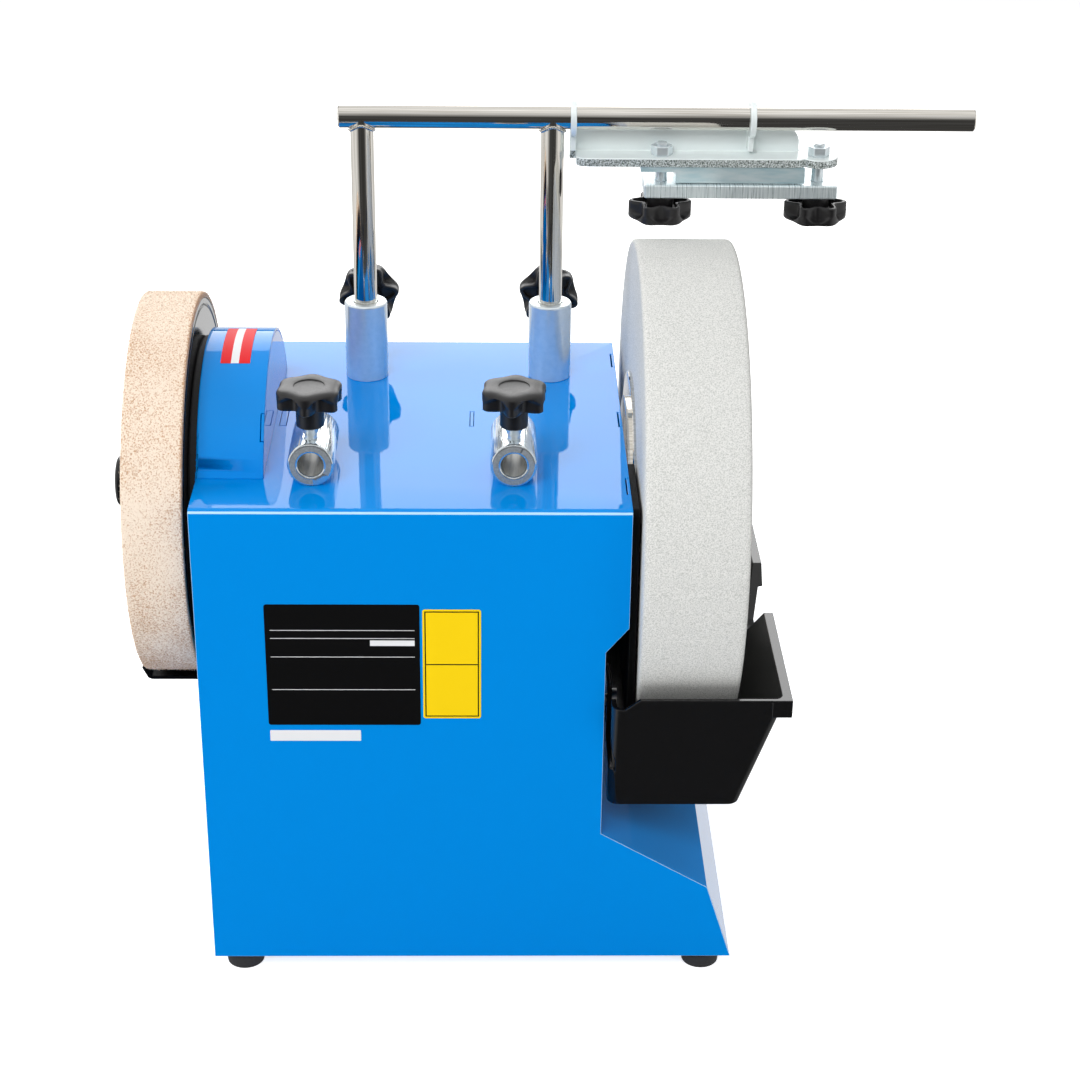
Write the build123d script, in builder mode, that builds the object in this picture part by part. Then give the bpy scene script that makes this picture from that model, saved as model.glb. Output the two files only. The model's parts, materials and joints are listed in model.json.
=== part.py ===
from build123d import *
from math import cos, radians, sin, sqrt
import os

os.makedirs("parts", exist_ok=True)

# Wet sharpening machine. Lengths in mm, X to the right, Y away from the operator, Z up.
# The bench is Z = 0, the spindle runs along X over Y = 0, and X = 0 is the middle of the whole.

# Grinding stone and spindle
stone_dia = 250.0
stone_width = 50.0
stone_edge = 2.5
stone_gap = 4.7
spindle_dia = 14.0
spindle_drop = 34.0
flange_dia = 115.0
flange_step_dia = 90.0
flange_step = 1.8
flange_start = 1.2
outer_flange_dia = 100.0
outer_flange = 4.0
nut_flats = 22.0
nut_height = 7.0

# Casing
foot_height = 10.0
foot_dia = 21.0
foot_inset = 14.5
casing_width = 209.0
casing_depth = 218.0
spindle_setback = 106.0
casing_height = 256.0
sheet = 1.5
plate = 3.0
bend_radius = 3.0
recess_depth = 11.0
shoulder_rise = 18.0
recess_rise = 31.3
deck_gap = 12.4
deck_edge = 43.0
deck_reach = 44.0
base_reach = 57.8
tab_length = 18.4
tab_play = 0.3

# Splash guard and water trough
guard_thickness = 3.6
guard_reach = 20.0
guard_dip = 22.0
guard_top = 1.0
guard_clear = 2.0
rim_drop = 60.0
rim_margin = 11.5
water_gap = 6.5
trough_wall = 2.5
trough_width = 84.9
trough_corner = 6.0
trough_clear = 3.0
end_taper = 23.0
side_taper = 18.0
trough_lip = 2.4
trough_lip_height = 9.5
left_wall_height = 24.0
step_drop = 6.9
step_near = 6.3
step_far = 13.5
notch_top = 56.6
notch_bottom = 12.0
notch_depth = 22.0
notch_shift = -2.4
notch_rim = 3.0
lug_spread = 120.0
lug_width = 24.0
lug_rise = 30.0
peg_dia = 6.0
peg_head_dia = 12.0
peg_head = 2.5
peg_play = 0.3
keyhole_drop = 5.5

# Honing wheel and its tray
honing_dia = 194.0
honing_width = 29.2
honing_gap = 4.3
leather = 3.0
honing_knob_reach = 16.4
honing_knob_dia = 42.0
honing_boss_dia = 26.0
tray_gap = 4.0
tray_sheet = 2.0
tray_reach = 35.5
tray_depth = 52.0
tray_lip = 5.0
tray_flange = 18.0

# Friction drive
drive_ring_dia = 150.0
drive_ring = 6.0
drive_width = 29.0
drive_gap = 0.3
stone_speed = 90.0
motor_speed = 1400.0
hood_gap = 2.5
hood_width = 32.5
hood_tab = 14.0
hood_tab_angle = 46.0
bearing_inset = 35.0
partition_offset = 27.0
bushing_dia = 26.0
bushing_flange = 3.0
motor_dia = 96.0
bell_length = 18.0
stator_length = 40.0
motor_screw_spread = 72.0
screw_dia = 5.0
vent_pitch = 10.0
vent_width = 5.0
capacitor_dia = 35.0
capacitor_length = 50.0

# Tool support
bar_dia = 12.0
bar_length = 324.0
bar_overhang = 12.0
bar_above_stone = 50.0
post_pitch = 97.0
post_offset = 20.0
post_setback = 49.5
post_seat = 2.0
weld_size = 2.0
sleeve_dia = 22.4
sleeve_length = 42.0
sleeve_flat = 0.4
rest_pitch = 97.0
rest_setback = 27.0
stud_inset = 8.5

# Star knobs
knob_dia = 32.5
knob_head = 10.0
knob_hub_dia = 13.4
knob_hub = 10.6
knob_gap = 6.2
knob_wall = 2.4
lobe_count = 6
lobe_dia = 9.0
knob_turns = {
    "post_knob_left": 20.0,
    "post_knob_right": 45.0,
    "rest_knob_left": 25.0,
    "rest_knob_right": 25.0,
    "jig_knob_left": 0.0,
    "jig_knob_right": 0.0,
}
stud_dia = 6.0
stud_grip = 8.0
stud_tip_gap = 0.3

# Blade jig on the bar
jig_gap = 1.0
ear = 3.0
ear_radius = 9.5
ear_root = 17.5
ear_end = 30.0
jig_drop = 19.0
jig_flange = 4.5
jig_front = 8.0
jig_back = 10.5
jig_web = 4.0
jig_web_rise = 12.0
jig_length = 121.0
jig_bush_dia = 20.0
bush_overhang = 6.5
strip_height = 8.7
strip_start = 36.0
strip_inset = 1.0
strip_thin = 3.0
stud_margin = 11.0
stud_relief = 7.0
clamp_play = 0.3
clamp_height = 7.0
clamp_depth = 20.0
clamp_start = 38.0
clamp_overhang = 9.5
jig_nut_flats = 10.0
jig_nut = 5.0
jig_hub = 3.5

# Switch and cable entry on the back
switch_offset = 60.0
switch_drop = 76.0
switch_width = 24.0
switch_height = 34.0
switch_depth = 20.0
bezel = 3.0
bezel_thickness = 2.5
rocker_width = 19.4
rocker_radius = 13.4
rocker_pin_dia = 3.0
rocker_tilt = 8.0
gland_height = 40.0
gland_thread_dia = 16.0
gland_flats = 22.0
cable_bore_dia = 8.0

# Fits, radial
slide_fit = 0.05
run_fit = 0.04
seat_fit = 0.02
turn_gap = 0.4

# Places that follow from the sizes
reach_left = casing_width / 2 + honing_gap + honing_width + honing_knob_reach
reach_right = post_offset - post_pitch / 2 - bar_overhang + bar_length
casing_x = (reach_left - reach_right) / 2
x_left = casing_x - casing_width / 2
x_right = casing_x + casing_width / 2
y_front = -spindle_setback
y_back = casing_depth - spindle_setback
casing_y = (y_front + y_back) / 2
half_inner = casing_depth / 2 - sheet
z_base = foot_height
z_top = z_base + casing_height
z_under = z_top - sheet
spindle_z = z_top - spindle_drop
stone_x = x_right + stone_gap
stone_right = stone_x + stone_width
rim_z = spindle_z - rim_drop
floor_z = spindle_z - stone_dia / 2 - water_gap - trough_wall
trough_height = rim_z - floor_z
rim_half = sqrt((stone_dia / 2) ** 2 - rim_drop ** 2) + rim_margin
recess_x = x_right - recess_depth
trough_x = recess_x + trough_clear
deck_z = floor_z - deck_gap
shaft_r = spindle_dia / 2
honing_x = x_left - honing_gap
honing_left = honing_x - honing_width
ring_r = drive_ring_dia / 2
hood_r = ring_r + hood_gap + sheet
hood_inner = hood_r - sheet
hood_x = x_left + hood_width
bearing_x = x_left + bearing_inset
partition_x = casing_x + partition_offset
motor_shaft_dia = drive_ring_dia * stone_speed / motor_speed
motor_r = motor_shaft_dia / 2
motor_z = spindle_z - ring_r - motor_r - drive_gap
bell_x = bearing_x + plate
stator_x = bell_x + bell_length
fan_bell_x = stator_x + stator_length
fan_x = fan_bell_x + bell_length + 1.0
bar_z = spindle_z + stone_dia / 2 + bar_above_stone
bar_r = bar_dia / 2
bore_r = bar_r + slide_fit
post_y = y_back - post_setback
post_xs = (casing_x + post_offset - post_pitch / 2, casing_x + post_offset + post_pitch / 2)
rest_xs = (casing_x - rest_pitch / 2, casing_x + rest_pitch / 2)
rest_y = y_front + rest_setback
rest_z = z_top + sleeve_dia / 2 - sleeve_flat
jig_x = post_xs[1] + bar_r + weld_size + jig_gap
jig_top = bar_z - jig_drop
strip_top = jig_top - jig_flange
clamp_top = strip_top - strip_height - clamp_play
clamp_under = clamp_top - clamp_height
jig_right = jig_x + jig_length
ear_xs = (jig_x, jig_right - ear_end)
strip_x = jig_x + strip_start
stud_xs = (strip_x + stud_margin, jig_right + bush_overhang)
clamp_x = jig_x + clamp_start
clamp_length = stud_xs[1] + clamp_overhang - clamp_x
foot_xs = (x_left + foot_inset, x_right + base_reach - foot_inset)
foot_ys = (y_front + foot_inset - sheet, y_back - foot_inset + sheet)
tab_ys = (casing_y - casing_depth * 0.37, casing_y, casing_y + casing_depth * 0.37)
switch_x = casing_x + switch_offset
switch_z = z_top - switch_drop
gland_z = z_base + gland_height
peg_ys = (-lug_spread / 2, lug_spread / 2)
peg_z = floor_z + left_wall_height + lug_rise / 2
sides = ("left", "right")


def outline():
    """Stepped outline of the casing's front and back, in X and Z."""
    return [
        (x_left, z_base),
        (x_left, z_top),
        (x_right, z_top),
        (x_right, rim_z + recess_rise),
        (recess_x, rim_z + shoulder_rise),
        (recess_x, deck_z),
        (x_right + deck_reach, z_base + deck_edge),
        (x_right + base_reach, z_base),
    ]


def on_spindle(x):
    """Plane square to the spindle at X = x."""
    return Plane(origin=(x, 0, spindle_z), x_dir=(0, 1, 0), z_dir=(1, 0, 0))


def on_motor(x):
    """Plane square to the motor shaft at X = x."""
    return Plane(origin=(x, 0, motor_z), x_dir=(0, 1, 0), z_dir=(1, 0, 0))


def trough_end(z):
    """Half length of the trough outside at height z."""
    return rim_half - end_taper * (rim_z - z) / trough_height


def trough_side(z):
    """Width of the trough outside at height z."""
    return trough_width - side_taper * (rim_z - z) / trough_height


def notch_outline(grow, top):
    """Outline of the pouring notch, grown outward and closed at height top, in Y and Z."""
    upper = notch_top / 2 + grow
    lower = notch_bottom / 2 + grow
    bottom = rim_z - notch_depth - grow
    return [
        (notch_shift - upper, top),
        (notch_shift - upper, rim_z),
        (notch_shift - lower, bottom),
        (notch_shift + lower, bottom),
        (notch_shift + upper, rim_z),
        (notch_shift + upper, top),
    ]


# Casing: front, top and back are one bent sheet
with BuildPart() as housing_shell:
    with BuildSketch(Plane.XZ.offset(-y_front)):
        Polygon(*outline(), align=None)
    extrude(amount=-sheet)
    with BuildSketch(Plane.XZ.offset(-y_back)):
        Polygon(*outline(), align=None)
    extrude(amount=sheet)
    with BuildSketch(Plane.XY.offset(z_under)):
        with Locations((casing_x, casing_y)):
            Rectangle(casing_width, casing_depth)
    extrude(amount=sheet)
    inner_bends = housing_shell.edges().filter_by(Axis.X).group_by(Axis.Z)[-2]
    fillet(inner_bends, bend_radius - sheet)
    outer_bends = housing_shell.edges().filter_by(Axis.X).group_by(Axis.Z)[-1]
    fillet(outer_bends, bend_radius)
    # openings in the top: drive wheel, tabs of the side and inner plates, posts
    with BuildSketch(Plane.XY.offset(z_top)):
        with Locations((x_left - 1, 0)):
            Rectangle(
                hood_width - sheet + 1,
                2 * sqrt(hood_inner ** 2 - spindle_drop ** 2) - tab_play,
                align=(Align.MIN, Align.CENTER),
            )
        for tab_y in tab_ys:
            with Locations((x_right + 1, tab_y)):
                Rectangle(
                    sheet + 2 * tab_play + 1, tab_length + 2 * tab_play, align=(Align.MAX, Align.CENTER)
                )
        with Locations((partition_x + sheet / 2, casing_y)):
            Rectangle(sheet + 2 * tab_play, tab_length + 2 * tab_play)
        with Locations((bearing_x + plate / 2, casing_y)):
            Rectangle(plate + 2 * tab_play, tab_length + 2 * tab_play)
        for post_x in post_xs:
            with Locations((post_x, post_y)):
                Circle(bore_r + 4 * slide_fit)
    extrude(amount=-2 * sheet, mode=Mode.SUBTRACT)
    # openings in the back: switch and cable gland
    with BuildSketch(Plane.XZ.offset(-y_back)):
        with Locations((switch_x, switch_z)):
            Rectangle(switch_width, switch_height)
        with Locations((switch_x, gland_z)):
            Circle(gland_thread_dia / 2 + slide_fit)
    extrude(amount=2 * sheet, mode=Mode.SUBTRACT)
housing_shell.part.label = "housing_shell"
export_step(housing_shell.part, "parts/housing_shell.step")

# Bent strip on the right: wall, recess for the trough, sloped deck and outer foot
with BuildPart() as right_side_panel:
    with BuildSketch(Plane.XZ.offset(half_inner - casing_y)):
        Polygon(*outline(), align=None)
        offset(amount=-sheet, kind=Kind.INTERSECTION, mode=Mode.SUBTRACT)
        with Locations((x_left - 1, z_base - 1)):
            Rectangle(
                recess_x - 2 * sheet - x_left + 1,
                casing_height + 2,
                align=(Align.MIN, Align.MIN),
                mode=Mode.SUBTRACT,
            )
        with Locations((casing_x, z_under)):
            Rectangle(
                casing_width + 2, 2 * sheet, align=(Align.CENTER, Align.MIN), mode=Mode.SUBTRACT
            )
        with Locations((casing_x, z_base + sheet)):
            Rectangle(
                casing_width + 3 * base_reach,
                2 * sheet,
                align=(Align.CENTER, Align.MAX),
                mode=Mode.SUBTRACT,
            )
    extrude(amount=-2 * half_inner)
    chamfer(right_side_panel.edges().filter_by(Axis.X).group_by(Axis.Z)[-1], bend_radius)
    with BuildSketch(Plane.XY.offset(z_under)):
        for tab_y in tab_ys:
            with Locations((x_right, tab_y)):
                Rectangle(sheet, tab_length, align=(Align.MAX, Align.CENTER))
    extrude(amount=sheet)
    with BuildSketch(on_spindle(x_right - 2 * sheet)):
        Circle(bushing_dia / 2 + seat_fit)
    extrude(amount=4 * sheet, mode=Mode.SUBTRACT)
    with BuildSketch(Plane.YZ.offset(recess_x - 2 * sheet)):
        for peg_y in peg_ys:
            with Locations((peg_y, peg_z)):
                Circle(peg_dia / 2 + seat_fit)
    extrude(amount=4 * sheet, mode=Mode.SUBTRACT)
right_side_panel.part.label = "right_side_panel"
export_step(right_side_panel.part, "parts/right_side_panel.step")

# Left wall, open round the drive wheel
with BuildPart() as left_side_panel:
    with BuildSketch(Plane.YZ.offset(x_left)) as wall:
        with Locations((casing_y, z_base + sheet)):
            Rectangle(2 * half_inner, z_under - z_base - sheet, align=(Align.CENTER, Align.MIN))
        chamfer(wall.vertices().group_by(Axis.Y)[-1], bend_radius)
        with Locations((0, spindle_z)):
            Circle(hood_inner, mode=Mode.SUBTRACT)
    extrude(amount=sheet)
left_side_panel.part.label = "left_side_panel"
export_step(left_side_panel.part, "parts/left_side_panel.step")

# Inner plate that carries the left bearing and the motor
with BuildPart() as bearing_plate:
    with BuildSketch(Plane.YZ.offset(bearing_x)) as wall:
        with Locations((casing_y, z_base + sheet)):
            Rectangle(2 * half_inner, z_under - z_base - sheet, align=(Align.CENTER, Align.MIN))
        chamfer(wall.vertices().group_by(Axis.Y)[-1], bend_radius)
        with Locations((casing_y, z_under)):
            Rectangle(tab_length, sheet, align=(Align.CENTER, Align.MIN))
        with Locations((0, spindle_z)):
            Circle(bushing_dia / 2 + seat_fit, mode=Mode.SUBTRACT)
        with Locations((0, motor_z)):
            Circle(2 * motor_shaft_dia, mode=Mode.SUBTRACT)
            with PolarLocations(motor_screw_spread / 2, 4, start_angle=45):
                Circle(screw_dia / 2 + seat_fit, mode=Mode.SUBTRACT)
    extrude(amount=plate)
bearing_plate.part.label = "bearing_plate"
export_step(bearing_plate.part, "parts/bearing_plate.step")

# Inner partition between the motor and the wiring bay
with BuildPart() as partition_plate:
    with BuildSketch(Plane.YZ.offset(partition_x)) as wall:
        with Locations((casing_y, z_base + sheet)):
            Rectangle(2 * half_inner, z_under - z_base - sheet, align=(Align.CENTER, Align.MIN))
        chamfer(wall.vertices().group_by(Axis.Y)[-1], bend_radius)
        with Locations((casing_y, z_under)):
            Rectangle(tab_length, sheet, align=(Align.CENTER, Align.MIN))
        with Locations((0, spindle_z)):
            Circle(spindle_dia, mode=Mode.SUBTRACT)
        with Locations((0, motor_z)):
            Circle(motor_dia / 4, mode=Mode.SUBTRACT)
    extrude(amount=sheet)
partition_plate.part.label = "partition_plate"
export_step(partition_plate.part, "parts/partition_plate.step")

# Base plate with vents below the motor
base_right = x_right + base_reach - (base_reach - deck_reach) * sheet / deck_edge
with BuildPart() as base_plate:
    with BuildSketch(Plane.XY.offset(z_base)):
        with Locations((x_left, casing_y)):
            Rectangle(base_right - x_left, 2 * half_inner, align=(Align.MIN, Align.CENTER))
        with Locations((stator_x + stator_length / 2, 0)):
            with GridLocations(vent_pitch, 1, 6, 1):
                SlotOverall(motor_dia / 2, vent_width, rotation=90, mode=Mode.SUBTRACT)
        for foot_x in foot_xs:
            for foot_y in foot_ys:
                with Locations((foot_x, foot_y)):
                    Circle(screw_dia / 2 + seat_fit, mode=Mode.SUBTRACT)
    extrude(amount=sheet)
base_plate.part.label = "base_plate"
export_step(base_plate.part, "parts/base_plate.step")

# Curved hood over the drive wheel, notched for the tabs of its side plate
with BuildPart() as drive_hood:
    with BuildSketch(on_spindle(x_left)):
        Circle(hood_r)
        Circle(hood_inner, mode=Mode.SUBTRACT)
        with Locations((0, spindle_drop)):
            Rectangle(3 * hood_r, 3 * hood_r, align=(Align.CENTER, Align.MAX), mode=Mode.SUBTRACT)
    extrude(amount=hood_width)
    hood_rim = drive_hood.edges().filter_by(GeomType.CIRCLE).group_by(Axis.X)[0]
    fillet(hood_rim.sort_by(SortBy.RADIUS)[-1], sheet / 2)
    with BuildSketch(on_spindle(hood_x - sheet - tab_play)):
        for angle in (90 - hood_tab_angle, 90 + hood_tab_angle):
            with PolarLocations(hood_r, 1, start_angle=angle):
                Rectangle(6 * sheet, hood_tab + 2 * tab_play)
    extrude(amount=2 * sheet, mode=Mode.SUBTRACT)
drive_hood.part.label = "drive_hood"
export_step(drive_hood.part, "parts/drive_hood.step")

with BuildPart() as hood_side_plate:
    with BuildSketch(on_spindle(hood_x - sheet)):
        Circle(hood_inner - tab_play / 2)
        for angle in (90 - hood_tab_angle, 90 + hood_tab_angle):
            with PolarLocations(hood_r, 1, start_angle=angle):
                Rectangle(3 * sheet, hood_tab, align=(Align.MAX, Align.CENTER))
        with Locations((0, spindle_drop)):
            Rectangle(3 * hood_r, 3 * hood_r, align=(Align.CENTER, Align.MAX), mode=Mode.SUBTRACT)
    extrude(amount=sheet)
hood_side_plate.part.label = "hood_side_plate"
export_step(hood_side_plate.part, "parts/hood_side_plate.step")

# Splash guard on the right wall, hanging into the trough and open round the flange
guard_bottom = rim_z - guard_dip
with BuildPart() as splash_guard:
    with BuildSketch(on_spindle(x_right)) as guard:
        with Locations((sheet - spindle_setback, guard_bottom - spindle_z)):
            Rectangle(
                spindle_setback - sheet + guard_reach,
                z_top - guard_top - guard_bottom,
                align=(Align.MIN, Align.MIN),
            )
        fillet(guard.vertices(), 2 * guard_clear)
        Circle(flange_dia / 2 + guard_clear, mode=Mode.SUBTRACT)
    extrude(amount=guard_thickness)
splash_guard.part.label = "splash_guard"
export_step(splash_guard.part, "parts/splash_guard.step")

# Rubber feet and their screws
for depth, foot_y in zip(("front", "rear"), foot_ys):
    for side, foot_x in zip(sides, foot_xs):
        with BuildPart() as foot:
            with BuildSketch(Plane(origin=(foot_x, foot_y, 0))):
                Circle(foot_dia / 2 - 1)
            with BuildSketch(Plane(origin=(foot_x, foot_y, foot_height))):
                Circle(foot_dia / 2)
            loft()
            with BuildSketch(Plane(origin=(foot_x, foot_y, 0))):
                Circle(stud_dia)
            extrude(amount=foot_height * 0.6, mode=Mode.SUBTRACT)
            with BuildSketch(Plane(origin=(foot_x, foot_y, 0))):
                Circle(screw_dia / 2 + seat_fit)
            extrude(amount=foot_height, mode=Mode.SUBTRACT)
        foot.part.label = f"foot_{depth}_{side}"
        export_step(foot.part, f"parts/foot_{depth}_{side}.step")

with BuildPart() as foot_screws:
    for foot_x in foot_xs:
        for foot_y in foot_ys:
            with BuildSketch(Plane(origin=(foot_x, foot_y, foot_height * 0.6))):
                Circle(stud_dia - 1)
            extrude(amount=-stud_dia / 2)
            with BuildSketch(Plane(origin=(foot_x, foot_y, foot_height * 0.6))):
                Circle(screw_dia / 2)
            extrude(amount=foot_height * 0.4 + sheet + 4)
foot_screws.part.label = "foot_screws"
export_step(foot_screws.part, "parts/foot_screws.step")

# Spindle with everything that turns on it
spindle_start = honing_left - honing_knob_reach * 0.5
spindle_end = stone_right + outer_flange + nut_height + 2
with BuildPart() as spindle_shaft:
    with BuildSketch(on_spindle(spindle_start)):
        Circle(shaft_r)
    extrude(amount=spindle_end - spindle_start)
    chamfer(spindle_shaft.edges().filter_by(GeomType.CIRCLE), 1.0)
spindle_shaft.part.label = "spindle_shaft"
export_step(spindle_shaft.part, "parts/spindle_shaft.step")

with BuildPart() as stone_inner_flange:
    with BuildSketch(on_spindle(x_right + flange_start)):
        Circle(flange_step_dia / 2)
        Circle(shaft_r + seat_fit, mode=Mode.SUBTRACT)
    extrude(amount=flange_step)
    with BuildSketch(on_spindle(x_right + flange_start + flange_step)):
        Circle(flange_dia / 2)
        Circle(shaft_r + seat_fit, mode=Mode.SUBTRACT)
    extrude(amount=stone_gap - flange_start - flange_step)
    rims = stone_inner_flange.edges().filter_by(GeomType.CIRCLE).group_by(SortBy.RADIUS)[-1]
    chamfer(rims.sort_by(Axis.X)[0], 0.6)
stone_inner_flange.part.label = "stone_inner_flange"
export_step(stone_inner_flange.part, "parts/stone_inner_flange.step")

with BuildPart() as grinding_stone:
    with BuildSketch(on_spindle(stone_x)):
        Circle(stone_dia / 2)
        Circle(shaft_r + seat_fit, mode=Mode.SUBTRACT)
    extrude(amount=stone_width)
    fillet(grinding_stone.edges().filter_by(GeomType.CIRCLE).group_by(SortBy.RADIUS)[-1], stone_edge)
grinding_stone.part.label = "grinding_stone"
export_step(grinding_stone.part, "parts/grinding_stone.step")

with BuildPart() as stone_outer_flange:
    with BuildSketch(on_spindle(stone_right)):
        Circle(outer_flange_dia / 2)
        Circle(shaft_r + seat_fit, mode=Mode.SUBTRACT)
    extrude(amount=outer_flange)
    chamfer(stone_outer_flange.edges().filter_by(GeomType.CIRCLE).group_by(SortBy.RADIUS)[-1], 0.8)
stone_outer_flange.part.label = "stone_outer_flange"
export_step(stone_outer_flange.part, "parts/stone_outer_flange.step")

with BuildPart() as stone_nut:
    with BuildSketch(on_spindle(stone_right + outer_flange)):
        RegularPolygon(nut_flats / 2, 6, major_radius=False)
        Circle(shaft_r + seat_fit, mode=Mode.SUBTRACT)
    extrude(amount=nut_height)
    chamfer(stone_nut.faces().sort_by(Axis.X)[-1].outer_wire().edges(), 0.8)
stone_nut.part.label = "stone_nut"
export_step(stone_nut.part, "parts/stone_nut.step")

# Plain bearings for the spindle
with BuildPart() as left_bushing:
    with BuildSketch(on_spindle(bearing_x - 2 * plate)):
        Circle(bushing_dia / 2)
        Circle(shaft_r + run_fit, mode=Mode.SUBTRACT)
    extrude(amount=6 * plate)
    with BuildSketch(on_spindle(bearing_x + plate)):
        Circle(bushing_dia * 0.7)
        Circle(shaft_r + run_fit, mode=Mode.SUBTRACT)
    extrude(amount=bushing_flange)
left_bushing.part.label = "left_bushing"
export_step(left_bushing.part, "parts/left_bushing.step")

with BuildPart() as right_bushing:
    with BuildSketch(on_spindle(x_right + flange_start - turn_gap)):
        Circle(bushing_dia / 2)
        Circle(shaft_r + run_fit, mode=Mode.SUBTRACT)
    extrude(amount=-6 * plate)
    with BuildSketch(on_spindle(x_right - sheet)):
        Circle(bushing_dia * 0.7)
        Circle(shaft_r + run_fit, mode=Mode.SUBTRACT)
    extrude(amount=-bushing_flange)
right_bushing.part.label = "right_bushing"
export_step(right_bushing.part, "parts/right_bushing.step")

# Drive wheel with its rubber ring, clamped between spindle and honing wheel
wheel_r = ring_r - drive_ring
with BuildPart() as drive_wheel:
    with BuildSketch(on_spindle(honing_x)):
        Circle(wheel_r)
        Circle(shaft_r + seat_fit, mode=Mode.SUBTRACT)
    extrude(amount=drive_width)
    with BuildSketch(on_spindle(honing_x + drive_width)):
        Circle(wheel_r - drive_ring)
        Circle(2.2 * shaft_r, mode=Mode.SUBTRACT)
    extrude(amount=-drive_width * 0.6, mode=Mode.SUBTRACT)
    with BuildSketch(on_spindle(honing_x)):
        with PolarLocations(wheel_r * 0.58, 6):
            Circle(wheel_r * 0.18)
    extrude(amount=drive_width, mode=Mode.SUBTRACT)
drive_wheel.part.label = "drive_wheel"
export_step(drive_wheel.part, "parts/drive_wheel.step")

with BuildPart() as drive_ring_part:
    with BuildSketch(on_spindle(honing_x)):
        Circle(ring_r)
        Circle(wheel_r + seat_fit, mode=Mode.SUBTRACT)
    extrude(amount=drive_width)
    rims = drive_ring_part.edges().filter_by(GeomType.CIRCLE).group_by(SortBy.RADIUS)[-1]
    fillet(rims, drive_ring / 4)
drive_ring_part.part.label = "drive_ring"
export_step(drive_ring_part.part, "parts/drive_ring.step")

# Honing wheel, its leather band and the knob that clamps it
felloe_r = honing_dia / 2 - leather
with BuildPart() as honing_wheel:
    with BuildSketch(on_spindle(honing_left)):
        Circle(felloe_r)
        Circle(shaft_r + seat_fit, mode=Mode.SUBTRACT)
    extrude(amount=honing_width)
    with BuildSketch(on_spindle(honing_left)):
        Circle(felloe_r - 2 * leather)
        Circle(honing_knob_dia / 2 + leather, mode=Mode.SUBTRACT)
    extrude(amount=honing_width * 0.3, mode=Mode.SUBTRACT)
    with BuildSketch(on_spindle(honing_x)):
        Circle(felloe_r - leather)
        Circle(felloe_r - 1.4 * leather, mode=Mode.SUBTRACT)
    extrude(amount=-leather / 4, mode=Mode.SUBTRACT)
honing_wheel.part.label = "honing_wheel"
export_step(honing_wheel.part, "parts/honing_wheel.step")

with BuildPart() as honing_leather:
    with BuildSketch(on_spindle(honing_left)):
        Circle(honing_dia / 2)
        Circle(felloe_r + seat_fit, mode=Mode.SUBTRACT)
    extrude(amount=honing_width)
    rims = honing_leather.edges().filter_by(GeomType.CIRCLE).group_by(SortBy.RADIUS)[-1]
    fillet(rims, leather / 3)
honing_leather.part.label = "honing_leather"
export_step(honing_leather.part, "parts/honing_leather.step")

knob_base = honing_knob_reach * 0.55
with BuildPart() as honing_knob:
    with BuildSketch(on_spindle(honing_left)) as grip:
        Circle(honing_knob_dia / 2)
        with PolarLocations(honing_knob_dia / 2 + 2, 8):
            Circle(honing_knob_dia / 8, mode=Mode.SUBTRACT)
        fillet(grip.vertices(), 1.0)
    extrude(amount=-knob_base)
    fillet(honing_knob.faces().sort_by(Axis.X)[0].edges(), 1.5)
    with BuildSketch(on_spindle(honing_left - knob_base)):
        Circle(honing_boss_dia / 2)
    extrude(amount=-(honing_knob_reach - knob_base))
    fillet(honing_knob.faces().sort_by(Axis.X)[0].edges(), 2.0)
    with BuildSketch(on_spindle(honing_left)):
        Circle(shaft_r + seat_fit)
    extrude(amount=-honing_knob_reach * 0.6, mode=Mode.SUBTRACT)
honing_knob.part.label = "honing_knob"
export_step(honing_knob.part, "parts/honing_knob.step")

# Drip tray below the honing wheel, bolted flange against the left wall
tray_top = spindle_z - honing_dia / 2 - tray_gap
lip_x = x_left - tray_reach
with BuildPart() as drip_tray:
    with BuildSketch(Plane.XZ.offset(tray_depth / 2)):
        with Locations((x_left, tray_top)):
            Rectangle(tray_sheet, tray_flange, align=(Align.MAX, Align.MAX))
            Rectangle(tray_reach, tray_sheet, align=(Align.MAX, Align.MAX))
        Polygon(
            (lip_x, tray_top - tray_sheet),
            (lip_x + tray_sheet, tray_top),
            (lip_x, tray_top),
            (lip_x - tray_lip * 0.6, tray_top + tray_lip),
            (lip_x - tray_lip * 0.6 - tray_sheet, tray_top + tray_lip),
            (lip_x - tray_sheet, tray_top - tray_sheet * 0.6),
            align=None,
        )
    extrude(amount=-tray_depth)
drip_tray.part.label = "drip_tray"
export_step(drip_tray.part, "parts/drip_tray.step")

# Motor: end bells, stator, shaft that drives the ring, fan and fixing screws
with BuildPart() as motor_drive_bell:
    with BuildSketch(on_motor(bell_x)):
        Circle(motor_dia / 2)
        Circle(motor_r + run_fit, mode=Mode.SUBTRACT)
    extrude(amount=bell_length)
    fillet(motor_drive_bell.faces().sort_by(Axis.X)[0].outer_wire().edges(), bell_length / 4)
    with BuildSketch(on_motor(bell_x)):
        with PolarLocations(motor_screw_spread / 2, 4, start_angle=45):
            Circle(screw_dia / 2 + seat_fit)
    extrude(amount=bell_length * 0.7, mode=Mode.SUBTRACT)
motor_drive_bell.part.label = "motor_drive_bell"
export_step(motor_drive_bell.part, "parts/motor_drive_bell.step")

with BuildPart() as motor_stator:
    with BuildSketch(on_motor(stator_x)):
        Circle(motor_dia / 2 - 2)
        Circle(motor_dia * 0.3, mode=Mode.SUBTRACT)
    extrude(amount=stator_length)
motor_stator.part.label = "motor_stator"
export_step(motor_stator.part, "parts/motor_stator.step")

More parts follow.
